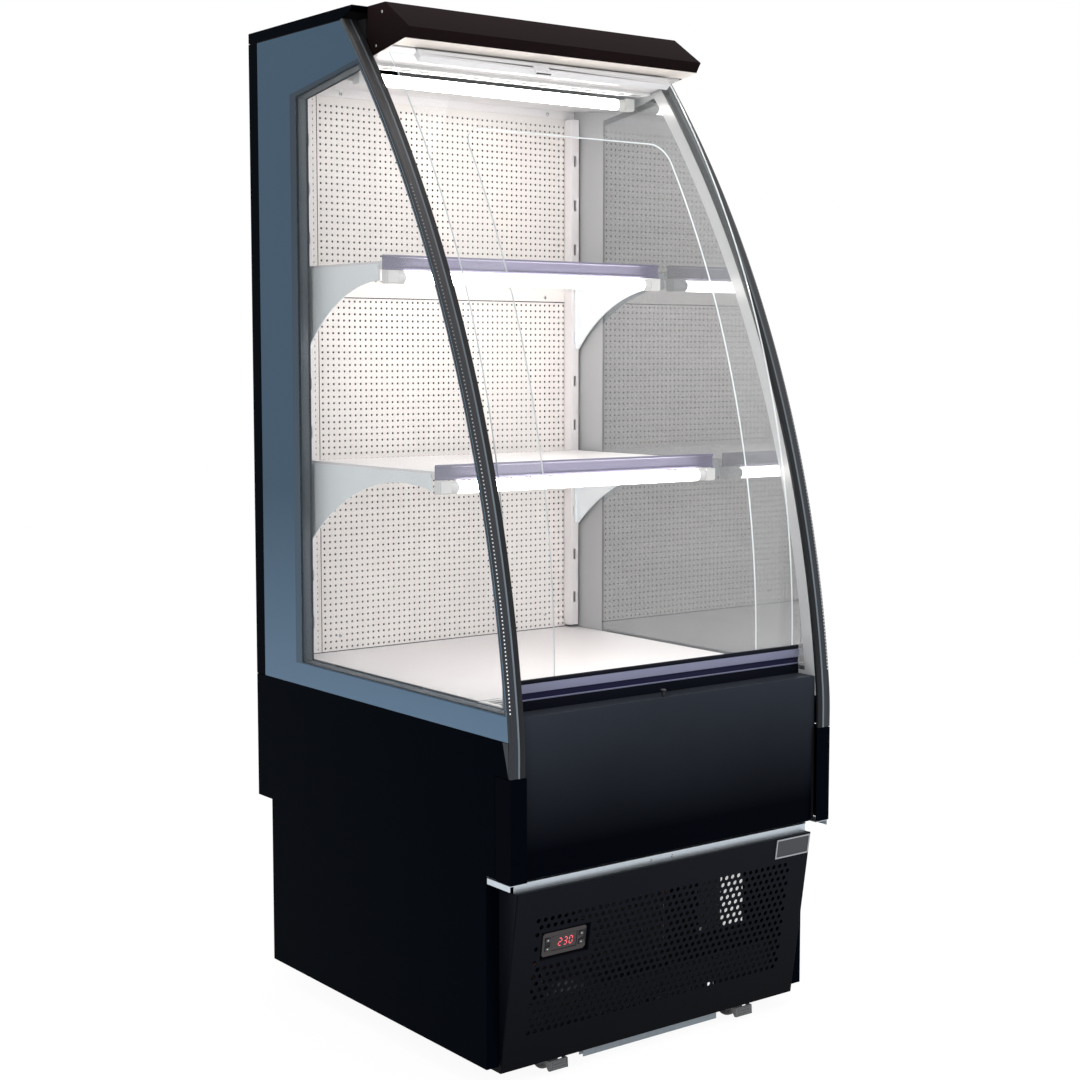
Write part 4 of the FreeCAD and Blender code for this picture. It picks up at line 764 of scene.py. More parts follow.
# the holes' middles: a grid whose rows are staggered, without those under the pocket
span_x, span_y = (math_node(tree, "MULTIPLY", math_node(tree, "SUBTRACT", given[count], 1.0), given[pitch])
                  for count, pitch in (("Columns", "Pitch X"), ("Rows", "Pitch Y")))
grid = add(tree, "GeometryNodeMeshGrid", Size_X=span_x, Size_Y=span_y, Vertices_X=given["Columns"],
           Vertices_Y=given["Rows"])
number = add(tree, "GeometryNodeInputIndex").outputs[0]
odd = math_node(tree, "MODULO", math_node(tree, "MODULO", number, given["Rows"]), 2.0)
slip = math_node(tree, "MULTIPLY", math_node(tree, "SUBTRACT", odd, 0.5), given["Stagger"])
shift = math_node(tree, "ADD", slip, given["Offset X"])
step = add(tree, "ShaderNodeCombineXYZ", X=shift, Y=given["Offset Y"])
moved = add(tree, "GeometryNodeSetPosition", Geometry=grid.outputs["Mesh"], Offset=step.outputs[0])
place = add(tree, "ShaderNodeSeparateXYZ", Vector=add(tree, "GeometryNodeInputPosition").outputs[0])
near = []
for axis, middle, size in (("X", "Pocket X", "Pocket Width"), ("Y", "Pocket Y", "Pocket Height")):
    away = math_node(tree, "ABSOLUTE", math_node(tree, "SUBTRACT", place.outputs[axis], given[middle]))
    reach = math_node(tree, "ADD", math_node(tree, "MULTIPLY", given[size], 0.5),
                      math_node(tree, "MULTIPLY", given["Hole Radius"], 1.3))
    near.append(math_node(tree, "LESS_THAN", away, reach))
inside = math_node(tree, "MULTIPLY", math_node(tree, "MULTIPLY", *near), given["Has Pocket"])
kept = add(tree, "GeometryNodeDeleteGeometry", Geometry=moved.outputs[0], Selection=inside)
# the sheet's outline, the holes and the pocket as lines, filled to one flat band
circle = add(tree, "GeometryNodeCurvePrimitiveCircle", Resolution=given["Sides"],
             Radius=given["Hole Radius"]).outputs["Curve"]
rings = add(tree, "GeometryNodeInstanceOnPoints", Points=kept.outputs[0], Instance=circle)
real = add(tree, "GeometryNodeRealizeInstances", Geometry=rings.outputs[0])
rim = add(tree, "GeometryNodeCurvePrimitiveQuadrilateral", Width=given["Width"], Height=given["Height"])
pocket = add(tree, "GeometryNodeCurvePrimitiveQuadrilateral", Width=given["Pocket Width"],
             Height=given["Pocket Height"])
pocket_place = add(tree, "ShaderNodeCombineXYZ", X=given["Pocket X"], Y=given["Pocket Y"])
pocket = add(tree, "GeometryNodeTransform", Geometry=pocket.outputs[0], Translation=pocket_place.outputs[0])
wanted = add(tree, "GeometryNodeSwitch", {"input_type": "GEOMETRY"},
             **{"Switch": given["Has Pocket"], "True": pocket.outputs[0]})
lines = joined(tree, rim.outputs[0], real.outputs[0], wanted.outputs[0])
band = add(tree, "GeometryNodeFillCurve", Curve=lines)
# the bands above one another, given a thickness and stood upright with their face in front
stack = add(tree, "GeometryNodeMeshLine", Count=given["Bands"],
            Offset=add(tree, "ShaderNodeCombineXYZ", Y=given["Height"]).outputs[0])
bands = add(tree, "GeometryNodeInstanceOnPoints", Points=stack.outputs[0], Instance=band.outputs[0])
laid = add(tree, "GeometryNodeRealizeInstances", Geometry=bands.outputs[0])
flat = add(tree, "GeometryNodeMergeByDistance", Geometry=laid.outputs[0], Distance=0.000001)
raised_face = add(tree, "GeometryNodeExtrudeMesh", Mesh=flat.outputs[0], Offset_Scale=given["Thickness"],
                  Individual=False)
back = add(tree, "GeometryNodeFlipFaces", Mesh=flat.outputs[0])
solid = joined(tree, raised_face.outputs["Mesh"], back.outputs[0])
merged = add(tree, "GeometryNodeMergeByDistance", Geometry=solid, Distance=0.000001)
sunk = add(tree, "ShaderNodeCombineXYZ", Z=math_node(tree, "MULTIPLY", given["Thickness"], -1.0))
flush = add(tree, "GeometryNodeTransform", Geometry=merged.outputs[0], Translation=sunk.outputs[0])
upright = add(tree, "GeometryNodeTransform", Geometry=flush.outputs[0], Rotation=(math.pi / 2, 0, 0))
loose = add(tree, "GeometryNodeRealizeInstances", Geometry=upright.outputs[0])
tree.links.new(finished(tree, loose.outputs[0], given["Finish"]), made[0])


def perforated(name, finish, counts, **lengths):
    """A perforated sheet in its own frame, from its counts and its lengths in millimetres."""
    values = {key.replace("_", " "): value / 1000 for key, value in lengths.items()}
    return grown(name, perforated_sheet, {**values, **counts, "Finish": finish})


panel_coat = textured("rear_panel_coat", coat_grain, 0.12, Color=(0.76, 0.73, 0.71), Shade=0.12,
                      Grain=1100.0, Patch=4.0, Roughness=0.36, Spread=0.1)
panel_depth, bottom, top, lap, high_foot, left_seam, right_seam = 600, 536, 1420, 1100.3, 1122, -233.7, 258.0
# name, left, right, lowest edge, bands, rows in a band, columns, pitch across and up, first column's shift
for name, x0, x1, z0, bands, rows, columns, pitch_x, pitch_y, shift in (
        ("rear_sheet_low", left_seam, right_seam, bottom, 8, 7, 49, 10, (lap - bottom - 1.6) / 56, -0.15),
        ("rear_sheet_high", left_seam, right_seam, high_foot, 4, 7, 49, 10, 10, -0.15),
        ("rear_sheet_left", -274.0, -235.3, bottom, 4, 22, 3, 10.45, (top - bottom) / 88, 1.6)):
    mesh = perforated(name, panel_coat, {"Columns": columns, "Rows": rows, "Sides": 8, "Bands": bands},
                      Width=x1 - x0, Height=rows * pitch_y, Pitch_X=pitch_x, Pitch_Y=pitch_y, Hole_Radius=2,
                      Thickness=1, Offset_X=shift)
    mesh.transform(Matrix.Translation(at((x0 + x1) / 2, panel_depth, z0 + rows * pitch_y / 2)))
    piece = placed(name, mesh, [], "white_steel")
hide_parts("rear_panel")
form = bmesh.new()
for x0, x1, z0, z1 in ((259.6, 274, bottom, top), (left_seam, right_seam, 1402, top),
                       (left_seam, right_seam, lap, high_foot)):
    bar(form, panel_depth, panel_depth + 1, z0, z1, x0, x1)
built("rear_sheet_margins", form, [panel_coat], "white_steel")
screws("rear_panel_screws", [(at(x, panel_depth, z), (0, -1, 0)) for x in (-200, 213)
                             for z in (1107, 812, 560)], 3.4, 1.2)

# ---------------------------------------------------------------- uprights, shelves and brackets
# Slotted steel channels, folded shelf trays and cantilever brackets that hook into them, all sprayed white.
# The brackets get a brighter, bluer copy of the white: painted light from the panes beside them.
# Painted light: a lighter, bluer white than the shelves' coat, for the brackets only.
bracket_coat_painted_light = textured("bracket_coat_painted_light", coat_grain, 0.15, Color=(0.84, 0.89, 0.92), Shade=0.15,
                        Grain=1100.0, Patch=9.0, Roughness=0.4, Spread=0.1)
softened("slotted_uprights", "shelf_uprights", white_coat, "white_steel", 0.3)
softened("shelf_tray_high", "upper_shelf", white_coat, "white_steel", 0.5)
softened("shelf_tray_low", "lower_shelf", white_coat, "white_steel", 0.5)
softened("hooked_brackets", "shelf_brackets", bracket_coat_painted_light, "white_steel", 0.4)

# ---------------------------------------------------------------- price rails
# Extruded plastic ticket strips in a dull lavender grey. They are clipped to the shelves' front
# edges.
rail_plastic = textured("rail_plastic", coat_grain, 0.06, Color=(0.21, 0.20, 0.28), Shade=0.15,
                        Grain=1500.0, Patch=12.0, Roughness=0.3, Spread=0.12)
softened("ticket_rails", "price_rails", rail_plastic, "rail_plastic", 0.35)

# ---------------------------------------------------------------- lights
# White tubes in moulded sockets, one under each shelf's front and one under the ceiling. They
# glow, and light the inside.
lamp_white = textured("lamp_diffuser", coat_grain, 0.05, Color=(0.88, 0.88, 0.88), Shade=0.05,
                      Grain=900.0, Patch=12.0, Roughness=0.35, Spread=0.05,
                      Emission_Color=(1.0, 0.96, 0.91, 1), Emission_Strength=22.0)
form = bmesh.new()
for depth, z, half in ((363, 1122, 243), (228, 821, 243), (434, 1416.5, 246)):
    cap = [(0, 0), (0, 8.2), (0.8, 9), (14, 9), (14.4, 8.7)]
    tube = cap + [(2 * half - along, radius) for along, radius in reversed(cap)]
    turning(form, at(-half, depth, z), (1, 0, 0), tube, 40, [1] * 4 + [0] + [1] * 4)
    socket = [(depth - 9, z - 7), (depth - 7, z - 9), (depth + 7, z - 9), (depth + 9, z - 7),
              (depth + 9, z + 10), (depth - 9, z + 10)]
    for side in (-1, 1):
        prism(form, socket, side * (half + 0.2), side * (half + 17.6), 1)
        bar(form, depth - 5, depth + 5, z - 5, z + 5, side * (half + 17.6), side * (half + 18), 1)
built("tube_lights", form, [lamp_white, white_plastic], "lamp_white", "light_tubes")

# ---------------------------------------------------------------- deck and return grille
# White deck over the evaporator, with a slotted white moulding in front of it. The moulding takes
# the air back in.
softened("deck_sheet", "base_deck", white_coat, "white_steel", 0.4)
softened("return_air_grille", "return_grille", white_plastic, "white_plastic", 0.3)

# ---------------------------------------------------------------- base rail
# Extruded front rail of the deck: a dark foot, a navy groove, a lavender ticket face and a dark
# rounded lip, with the channel that the guard stands in behind it.
rail_face = textured("rail_lavender", coat_grain, 0.06, Color=(0.18, 0.19, 0.29), Shade=0.15,
                     Grain=1500.0, Patch=12.0, Roughness=0.32, Spread=0.12)
rail_navy = textured("rail_navy", coat_grain, 0.06, Color=(0.010, 0.010, 0.036), Shade=0.3, Grain=1500.0,
                     Patch=12.0, Roughness=0.4, Spread=0.12, Specular_IOR_Level=0.06)
rail_dark = textured("rail_dark", coat_grain, 0.06, Color=(0.004, 0.005, 0.010), Shade=0.3, Grain=1500.0,
                     Patch=12.0, Roughness=0.36, Spread=0.12, Specular_IOR_Level=0.06)
groove_foot, groove_top = 543.6, 551.5


def rail_finish(place, normal):
    """Which finish a face of the rail has: 0 for the ticket face, 1 for the groove, 2 for the rest."""
    z = place[2]
    if abs(normal.x) > 0.5 or groove_top < z < 563.8 or 541 < z < groove_foot:
        return 0
    return 1 if groove_foot <= z <= groove_top else 2


piece = softened("deck_front_rail", "base_rail", rail_face, "rail_plastic", 0.3)
assigned(piece, [rail_face, rail_navy, rail_dark], rail_finish)

# ---------------------------------------------------------------- clear guard
# A bent sheet of 3 mm clear acrylic with an arched opening and polished edges. The edges are given a pale,
# nearly opaque colour, a painted glint. It stands upright at the foot and then follows the blind's arc.
acrylic = textured("clear_acrylic", wiped, 0.02, Color=(0.60, 0.63, 0.64), Shade=0.15, Roughness=0.03,
                   Spread=0.03, Alpha=0.07, Metallic=0.5)
# Painted highlight: a pale, nearly opaque edge colour for the glint of the polished edges.
acrylic_edge = textured("polished_acrylic_edge_painted_glint", coat_grain, 0.05, Color=(0.72, 0.78, 0.80), Shade=0.2,
                        Grain=900.0, Patch=20.0, Roughness=0.12, Spread=0.1, Alpha=0.85)
guard_half, guard_foot, guard_top = 266, 549, 1442
guard_radius, guard_thickness, guard_steps = 1448, 3, 64
opening_half, opening_top, corner, corner_steps = 190, 1334, 28, 8
turns = [math.radians(90 * i / corner_steps) for i in range(corner_steps + 1)]
corner_x, corner_z = opening_half - corner, opening_top - corner
half_arch = [(opening_half, guard_foot)]
half_arch += [(corner_x + corner * math.cos(turn), corner_z + corner * math.sin(turn)) for turn in turns]
arch = half_arch + [(-x, z) for x, z in reversed(half_arch)]
outline = [(-guard_half, guard_foot), (-guard_half, guard_top), (guard_half, guard_top),
           (guard_half, guard_foot)]
form = bmesh.new()
form.faces.new([form.verts.new((x, 0, z)) for x, z in outline + arch])
for i in range(guard_steps):
    z = arc_z + (guard_top - arc_z) * i / guard_steps
    bmesh.ops.bisect_plane(form, geom=form.verts[:] + form.edges[:] + form.faces[:], plane_co=(0, 0, z),
                           plane_no=(0, 0, 1))
front_faces = form.faces[:]
copy = bmesh.ops.duplicate(form, geom=form.verts[:] + form.edges[:] + front_faces)
front = {vert for face in front_faces for vert in face.verts}
back_of = {vert: twin for vert, twin in copy["vert_map"].items() if vert in front}
for edge in [edge for face in front_faces for edge in face.edges if edge.is_boundary]:
    a, b = edge.verts
    form.faces.new([a, b, back_of[b], back_of[a]]).material_index = 1
for layer, radius in ((back_of.keys(), guard_radius), (back_of.values(), guard_radius - guard_thickness)):
    for vert in list(layer):
        x, _, z = vert.co
        depth, height = on_arc(math.asin(max(z - arc_z, 0) / guard_radius), radius)
        vert.co = at(x, depth, height if z > arc_z else z)
built("bent_guard", form, [acrylic, acrylic_edge], "clear_acrylic", "clear_guard")

# ---------------------------------------------------------------- front cross rail
# Bent galvanised strip between the tub and the machine grille, wrapped round both sides, with the
# fine spangle of hot-dip zinc.
spangle, given, made = surface_group("zinc_spangle", Color=middle_grey, Shade=0.2, Scale=140.0,
                                     Roughness=0.3, Spread=0.15)
spot = add(spangle, "ShaderNodeTexCoord").outputs["Object"]
flake = add(spangle, "ShaderNodeTexVoronoi", Vector=spot, Scale=given["Scale"])
roll = add(spangle, "ShaderNodeTexNoise", Vector=spot, Scale=9.0, Detail=5.0)
flake_tone = add(spangle, "ShaderNodeSeparateColor", Color=flake.outputs["Color"])
both = math_node(spangle, "MULTIPLY_ADD", flake_tone.outputs[0], 0.5, roll.outputs["Fac"])
put_out(spangle, made, *varied(spangle, given, both, 0.75), flake.outputs["Distance"])
galvanised = textured("galvanised_sheet", spangle, 0.04, Color=(0.58, 0.64, 0.70), Shade=0.14,
                      Scale=220.0, Roughness=0.36, Spread=0.12, Metallic=0.75)
softened("cross_rail", "front_cross_rail", galvanised, "zinc_steel", 0.3)
screws("cross_rail_screws", [(at(x, 26, 290), (0, -1, 0)) for x in (-33, 7)], 2.2, 0.8)

# ---------------------------------------------------------------- machine grille
# Slanted 1.2 mm steel cover with staggered round holes, side returns and a hemmed top, powder coated black
# and painted a little lighter towards the top as painted light from above. A pocket is let in for the
# controller, its floor cut out behind it.
foot_depth, foot_z, head_depth, head_z, sheet = 55, 24, 15, 285, 1.2
lean = math.atan2(foot_depth - head_depth, head_z - foot_z)
on_grille = Matrix.Translation(at(0, foot_depth, foot_z)) @ Matrix.Rotation(lean, 4, "X")
grille_length = math.hypot(foot_depth - head_depth, head_z - foot_z)
hole_pitch, row_pitch, holes_middle, grille_half = 12.0, 10.43, 135, 276.8
pocket_x, pocket_y, pocket_width, pocket_height, pocket_depth = -186, 178, 86, 42, 9
# Painted light: the black grades lighter from the foot to the top.
grille_coat = textured("black_grille_coat_painted_light", graded_coat, 0.12, Low_Color=(0.0020, 0.0024, 0.0040),
                       High_Color=(0.0060, 0.0070, 0.0110), Low=0.02, High=0.29, Shade=0.4, Grain=1100.0,
                       Patch=7.0, Roughness=0.34, Spread=0.12, Dust=0.01, Specular_IOR_Level=0.03)
mesh = perforated("grille_sheet", grille_coat, {"Columns": 40, "Rows": 17, "Sides": 12, "Has Pocket": True},
                  Width=2 * grille_half, Height=grille_length, Pitch_X=hole_pitch, Pitch_Y=row_pitch,
                  Stagger=hole_pitch / 2, Hole_Radius=3.5, Thickness=sheet, Offset_X=0,
                  Offset_Y=holes_middle - grille_length / 2, Pocket_X=pocket_x,
                  Pocket_Y=pocket_y - grille_length / 2, Pocket_Width=pocket_width,
                  Pocket_Height=pocket_height)
mesh.transform(on_grille @ Matrix.Translation((0, 0, grille_length / 2000)))
placed("grille_sheet", mesh, [], "black_steel", "machine_grille")


def upright_box(form, x0, x1, y0, y1, z0, z1, matrix, slot_index=0):
    """Add a block given in millimetres in a piece's own upright frame, then moved by a matrix."""
    corners = [form.verts.new(matrix @ (Vector((x, y, z)) / 1000)) for x in (x0, x1) for y in (y0, y1)
               for z in (z0, z1)]
    for a, b, c, d in ((0, 1, 3, 2), (4, 6, 7, 5), (0, 4, 5, 1), (2, 3, 7, 6), (0, 2, 6, 4), (1, 5, 7, 3)):
        form.faces.new([corners[i] for i in (a, b, c, d)]).material_index = slot_index


def box_ring(form, outer, inner, y0, y1):
    """Add four blocks on the grille round an opening; outer and inner list left, right, low, high."""
    (x0, x3, z0, z3), (x1, x2, z1, z2) = outer, inner
    for left, right, low, high in ((x0, x1, z0, z3), (x2, x3, z0, z3), (x1, x2, z0, z1), (x1, x2, z2, z3)):
        upright_box(form, left, right, y0, y1, low, high, on_grille)


def oblong(x, z, half_x, half_z):
    """Left, right, low and high of a rectangle round a point."""
    return x - half_x, x + half_x, z - half_z, z + half_z


form = bmesh.new()
pocket_outer = oblong(pocket_x, pocket_y, pocket_width / 2 + 1, pocket_height / 2 + 1)
pocket_inner = oblong(pocket_x, pocket_y, pocket_width / 2, pocket_height / 2)
floor_opening = oblong(pocket_x, pocket_y, 35.7, 14.7)
box_ring(form, pocket_outer, pocket_inner, sheet, pocket_depth)
box_ring(form, pocket_outer, floor_opening, pocket_depth, pocket_depth + sheet)
side_return = [(foot_depth, foot_z), (92, foot_z), (92, 283), (16, 284.5)]
for side in (-1, 1):
    prism(form, side_return, side * grille_half, side * (grille_half + sheet))
bar(form, 15.4, 23, 283.4, 284.6, -grille_half, grille_half)
rounded(built("grille_returns", form, [grille_coat], "black_steel"), 0.3, 30)
screws("grille_side_screws", [(at(s * 278, 70, 40), (s, 0, 0)) for s in (-1, 1)], 2.8, 1.0)

# ---------------------------------------------------------------- badge plate
# Thin silver plate glued to the grille's upper right corner, left bare: a raised frame round a
# satin field.
silver = textured("satin_silver", coat_grain, 0.10, Color=(0.36, 0.37, 0.40), Shade=0.15, Grain=1800.0,
                  Patch=25.0, Roughness=0.34, Spread=0.12, Metallic=0.7)
satin_field = textured("satin_field", coat_grain, 0.10, Color=(0.055, 0.058, 0.066), Shade=0.25,
                       Grain=1800.0, Patch=25.0, Roughness=0.42, Spread=0.12, Metallic=0.2,
                       Specular_IOR_Level=0.2)
plate_x0, plate_x1, plate_rim = 206, 275, 2.2
plate_y0, plate_y1 = ((z - foot_z) / math.cos(lean) for z in (253, 283))
form = bmesh.new()
upright_box(form, plate_x0, plate_x1, -0.6, 0, plate_y0, plate_y1, on_grille, 1)
field = (plate_x0 + plate_rim, plate_x1 - plate_rim, plate_y0 + plate_rim, plate_y1 - plate_rim)
box_ring(form, (plate_x0, plate_x1, plate_y0, plate_y1), field, -1.4, -0.5)
built("bare_badge_plate", form, [silver, satin_field], "zinc_steel")

# ---------------------------------------------------------------- controller
# Black panel controller in the pocket: a softly bevelled bezel, a smoked window with three red
# digits behind it, and four keys with white marks, two on each side.
bezel_black = textured("bezel_black", coat_grain, 0.15, Color=(0.010, 0.011, 0.014), Shade=0.3,
                       Grain=2600.0, Patch=40.0, Roughness=0.35, Spread=0.12, Specular_IOR_Level=0.15)
smoked = textured("smoked_window", wiped, 0.02, Color=(0.015, 0.008, 0.010), Shade=0.3, Roughness=0.10,
                  Spread=0.06)
key_black = textured("key_rubber", coat_grain, 0.2, Color=(0.020, 0.021, 0.025), Shade=0.3, Grain=2600.0,
                     Patch=60.0, Roughness=0.5, Spread=0.12)
red_glow = textured("red_segments", coat_grain, 0.02, Color=(0.80, 0.10, 0.12), Shade=0.2, Grain=2600.0,
                    Roughness=0.4, Emission_Color=(1.0, 0.10, 0.14, 1), Emission_Strength=1.2)
mark_white = textured("printed_mark_white", coat_grain, 0.02, Color=(0.80, 0.80, 0.80), Shade=0.1,
                      Grain=2600.0, Roughness=0.5)
in_pocket = on_grille @ Matrix.Translation(Vector((pocket_x, pocket_depth, pocket_y)) / 1000)
to_pocket = in_pocket.inverted()


def in_window(place, normal):
    """Whether a face of the controller belongs to its window."""
    across, out, up = to_pocket @ at(*place) * 1000
    return abs(across) < 21.95 and abs(up) < 10.95 and out < -5.5


def raised(form, outline, y0, y1):
    """Add a flat shape from (across, up) points that stands out from the controller's face."""
    front, rear = ([form.verts.new(in_pocket @ (Vector((x, y, z)) / 1000)) for x, z in outline]
                   for y in (y0, y1))
    form.faces.new(front)
    form.faces.new(rear[::-1])
    for i in range(len(outline)):
        form.faces.new([front[i], front[i - 1], rear[i - 1], rear[i]])


piece = softened("panel_controller", "controller", bezel_black, "black_plastic", 0.8)
assigned(piece, [bezel_black, smoked], in_window)
# where each segment of a digit is, across and up, and whether it stands
segment_places = {"a": (0, 5.4, 0), "g": (0, 0, 0), "d": (0, -5.4, 0), "f": (-2.6, 2.7, 1),
                  "b": (2.6, 2.7, 1), "e": (-2.6, -2.7, 1), "c": (2.6, -2.7, 1)}
long_half, short_half, slant = 1.9, 0.45, 0.08
segment = [(-long_half, 0), (short_half - long_half, short_half), (long_half - short_half, short_half),
           (long_half, 0), (long_half - short_half, -short_half), (short_half - long_half, -short_half)]
form = bmesh.new()
for digit_x, lit in ((-7.2, "abged"), (2.2, "abgcd"), (11.6, "abcdef")):
    for dx, dz, standing in (segment_places[letter] for letter in lit):
        outline = [(z, x) for x, z in segment][::-1] if standing else segment
        raised(form, [(digit_x + dx + x + slant * (dz + z), dz + z) for x, z in outline], -5.95, -5.75)
built("display_digits", form, [red_glow], "black_plastic")
for number, (x, z) in enumerate(((-29.5, 6.5), (-29.5, -6.5), (29.5, 6.5), (29.5, -6.5)), 1):
    body = "button_%d" % number
    softened("key_%d" % number, body, key_black, "black_plastic", 0.5, body=body)
    up = 1 if number % 2 else -1
    form = bmesh.new()
    raised(form, [(x - 1.3, z - 0.8 * up), (x + 1.3, z - 0.8 * up), (x, z + 1.2 * up)], -7.28, -7.1)
    built("key_mark_%d" % number, form, [mark_white], "white_plastic", body=body)

# ---------------------------------------------------------------- terminal box
# Black moulded junction box behind the grille. Its lid is white over the wiring half, where the grille's
# holes show it, and black over the other half; four screws hold it. The white half is given a faint glow, a
# painted glow though it holds no lamp.
# Painted glow: a faint emission that brightens the white lid half.
lid_painted_glow = textured("terminal_lid_painted_glow", coat_grain, 0.1, Color=(0.86, 0.86, 0.86), Shade=0.06,
                     Grain=1800.0, Patch=8.0, Roughness=0.4, Spread=0.1, Emission_Color=(1, 1, 1, 1),
                     Emission_Strength=0.45)
form = bmesh.new()
bar(form, 70, 112, 150, 262, 98, 182, 1)
for x0, x1, slot_index in ((95, 139.6, 1), (140.4, 185, 0)):
    prism(form, [(68, 147), (70, 147), (70, 265), (68, 265), (67, 263.5), (67, 148.5)], x0, x1, slot_index)
built("junction_box", form, [lid_painted_glow, black_plastic], "white_plastic", "terminal_box")
screws("junction_box_screws", [(at(x, 67, z), (0, -1, 0)) for x in (101, 179) for z in (154, 258)], 3.0, 0.9)

# ---------------------------------------------------------------- base frame and unit tray
# Flat steel bars and floor plates, welded into a frame, with the compressor's galvanised tray dropped into
# its well. The frame is coloured a dull black, painted shade for the dark space seen through the grille's
# holes. Two strips in the same black close the gap behind the grille's foot.
dull_zinc = textured("dull_zinc", spangle, 0.1, Color=(0.20, 0.23, 0.26), Shade=0.3, Scale=120.0,
                     Roughness=0.42, Spread=0.25, Metallic=0.7)
# Painted shade: a dull black on the frame and on the strips behind the grille.
frame_painted_shade = textured("frame_painted_shade", coat_grain, 0.2, Color=(0.018, 0.019, 0.021), Shade=0.4,
                       Grain=1100.0, Patch=20.0, Roughness=0.5, Spread=0.15, Dust=0.10,
                       Specular_IOR_Level=0.2)
softened("floor_frame", "base_frame", frame_painted_shade, "zinc_steel", 0.4)
form = bmesh.new()
for side in (-1, 1):
    bar(form, 57.2, 58.4, 56, 76, side * 119, side * 272)
built("air_strips", form, [frame_painted_shade], "black_steel")
softened("compressor_tray", "unit_tray", dull_zinc, "zinc_steel", 0.4)

# ---------------------------------------------------------------- castors
# Pressed zinc forks on king pins, grey rubber treads on plastic wheels, and ribbed grey brake
# pedals on the front pair.
castor_zinc = textured("bright_castor_zinc", coat_grain, 0.1, Color=(0.60, 0.61, 0.62), Shade=0.3,
                       Grain=900.0, Patch=60.0, Roughness=0.28, Spread=0.2, Metallic=1.0)
tread_rubber = textured("tread_rubber", coat_grain, 0.4, Color=(0.075, 0.075, 0.078), Shade=0.4,
                        Grain=1600.0, Patch=60.0, Roughness=0.65, Spread=0.2, Dust=0.3)
wheel_plastic = textured("wheel_plastic", coat_grain, 0.2, Color=(0.30, 0.31, 0.32), Shade=0.2,
                         Grain=1800.0, Patch=60.0, Roughness=0.45, Spread=0.1)
pedal_grey = textured("pedal_grey", coat_grain, 0.2, Color=(0.10, 0.103, 0.108), Shade=0.3, Grain=1800.0,
                      Patch=60.0, Roughness=0.45, Spread=0.1)
wheel_half, wheel_radius, axle_trail, spokes = 10, 25, 20, 6
wheel_section = [(0, 4.4), (0, 8), (2.6, 8.6), (2.6, 17), (0.8, 18.6), (0, 22.4), (1.4, 24.5), (3.4, 25),
                 (8.6, 25), (9.1, 24.3), (10.9, 24.3), (11.4, 25), (16.6, 25), (18.6, 24.5), (20, 22.4),
                 (19.2, 18.6), (17.4, 17), (17.4, 8.6), (20, 8), (20, 4.4), (0, 4.4)]
wheel_slots = [1] * 4 + [0] * 11 + [1] * 5
for end, depth in (("front", 110), ("rear", 592)):
    for hand, x in (("left", -178), ("right", 178)):
        corner = end + "_" + hand
        fork, wheel, pedal = (kind + corner for kind in ("castor_fork_", "castor_wheel_", "brake_pedal_"))
        softened("fork_" + corner, fork, castor_zinc, "castor_zinc", 0.4, body=fork)
        form = bmesh.new()
        axle = depth - axle_trail
        hub = Matrix.Translation(at(x, axle, wheel_radius))
        turning(form, at(x - wheel_half, axle, wheel_radius), (1, 0, 0), wheel_section, 56, wheel_slots)
        for k in range(spokes):
            turn = Matrix.Rotation(math.tau * k / spokes, 4, "X")
            upright_box(form, -9.2, 9.2, -1.1, 1.1, 8.2, 17.6, hub @ turn, 1)
        bmesh.ops.remove_doubles(form, verts=form.verts, dist=1e-7)
        built("wheel_" + corner, form, [tread_rubber, wheel_plastic], "castor_wheel", wheel, body=wheel,
              angle=30)
        if end == "front":
            softened("pedal_" + corner, pedal, pedal_grey, "pedal_grey", 0.4, body=pedal)

# ---------------------------------------------------------------- coils
# Condenser behind the grille and evaporator under the deck: packs of thin aluminium fins between end plates,
# on copper tubes whose bends stand out at both ends. The fins and the tubes are coloured far darker than
# bare aluminium and copper, painted shade for the dark space they sit in.
tree, given, made = geometry_group(
    "fin_pack", [("Length", 0.2), ("Depth", 0.03), ("Height", 0.1), ("Count", 60), ("Fin", 0.0002),
                 ("Finish", "NodeSocketMaterial")])
fin_pack = tree
gap = math_node(tree, "DIVIDE", given["Length"], math_node(tree, "SUBTRACT", given["Count"], 1.0))
step = add(tree, "ShaderNodeCombineXYZ", X=gap)
line = add(tree, "GeometryNodeMeshLine", Count=given["Count"], Offset=step.outputs[0])
size = add(tree, "ShaderNodeCombineXYZ", X=given["Fin"], Y=given["Depth"], Z=given["Height"])
fin = add(tree, "GeometryNodeMeshCube", Size=size.outputs[0])
copies = add(tree, "GeometryNodeInstanceOnPoints", Points=line.outputs[0], Instance=fin.outputs["Mesh"])
real = add(tree, "GeometryNodeRealizeInstances", Geometry=copies.outputs[0])
tree.links.new(finished(tree, real.outputs[0], given["Finish"]), made[0])
# Painted shade: dark grey fins and dark copper.
fin_metal = textured("fin_aluminium_painted_shade", coat_grain, 0.2, Color=(0.16, 0.165, 0.17), Shade=0.3, Grain=700.0,
                     Patch=40.0, Roughness=0.45, Spread=0.2, Metallic=0.6)
copper = textured("copper_tube_painted_shade", coat_grain, 0.1, Color=(0.11, 0.055, 0.035), Shade=0.4, Grain=700.0,
                  Patch=60.0, Roughness=0.30, Spread=0.25, Metallic=1.0)
tube_sides, tube_radius, bend_reach, bend_steps = 16, 4.2, 7.6, 10


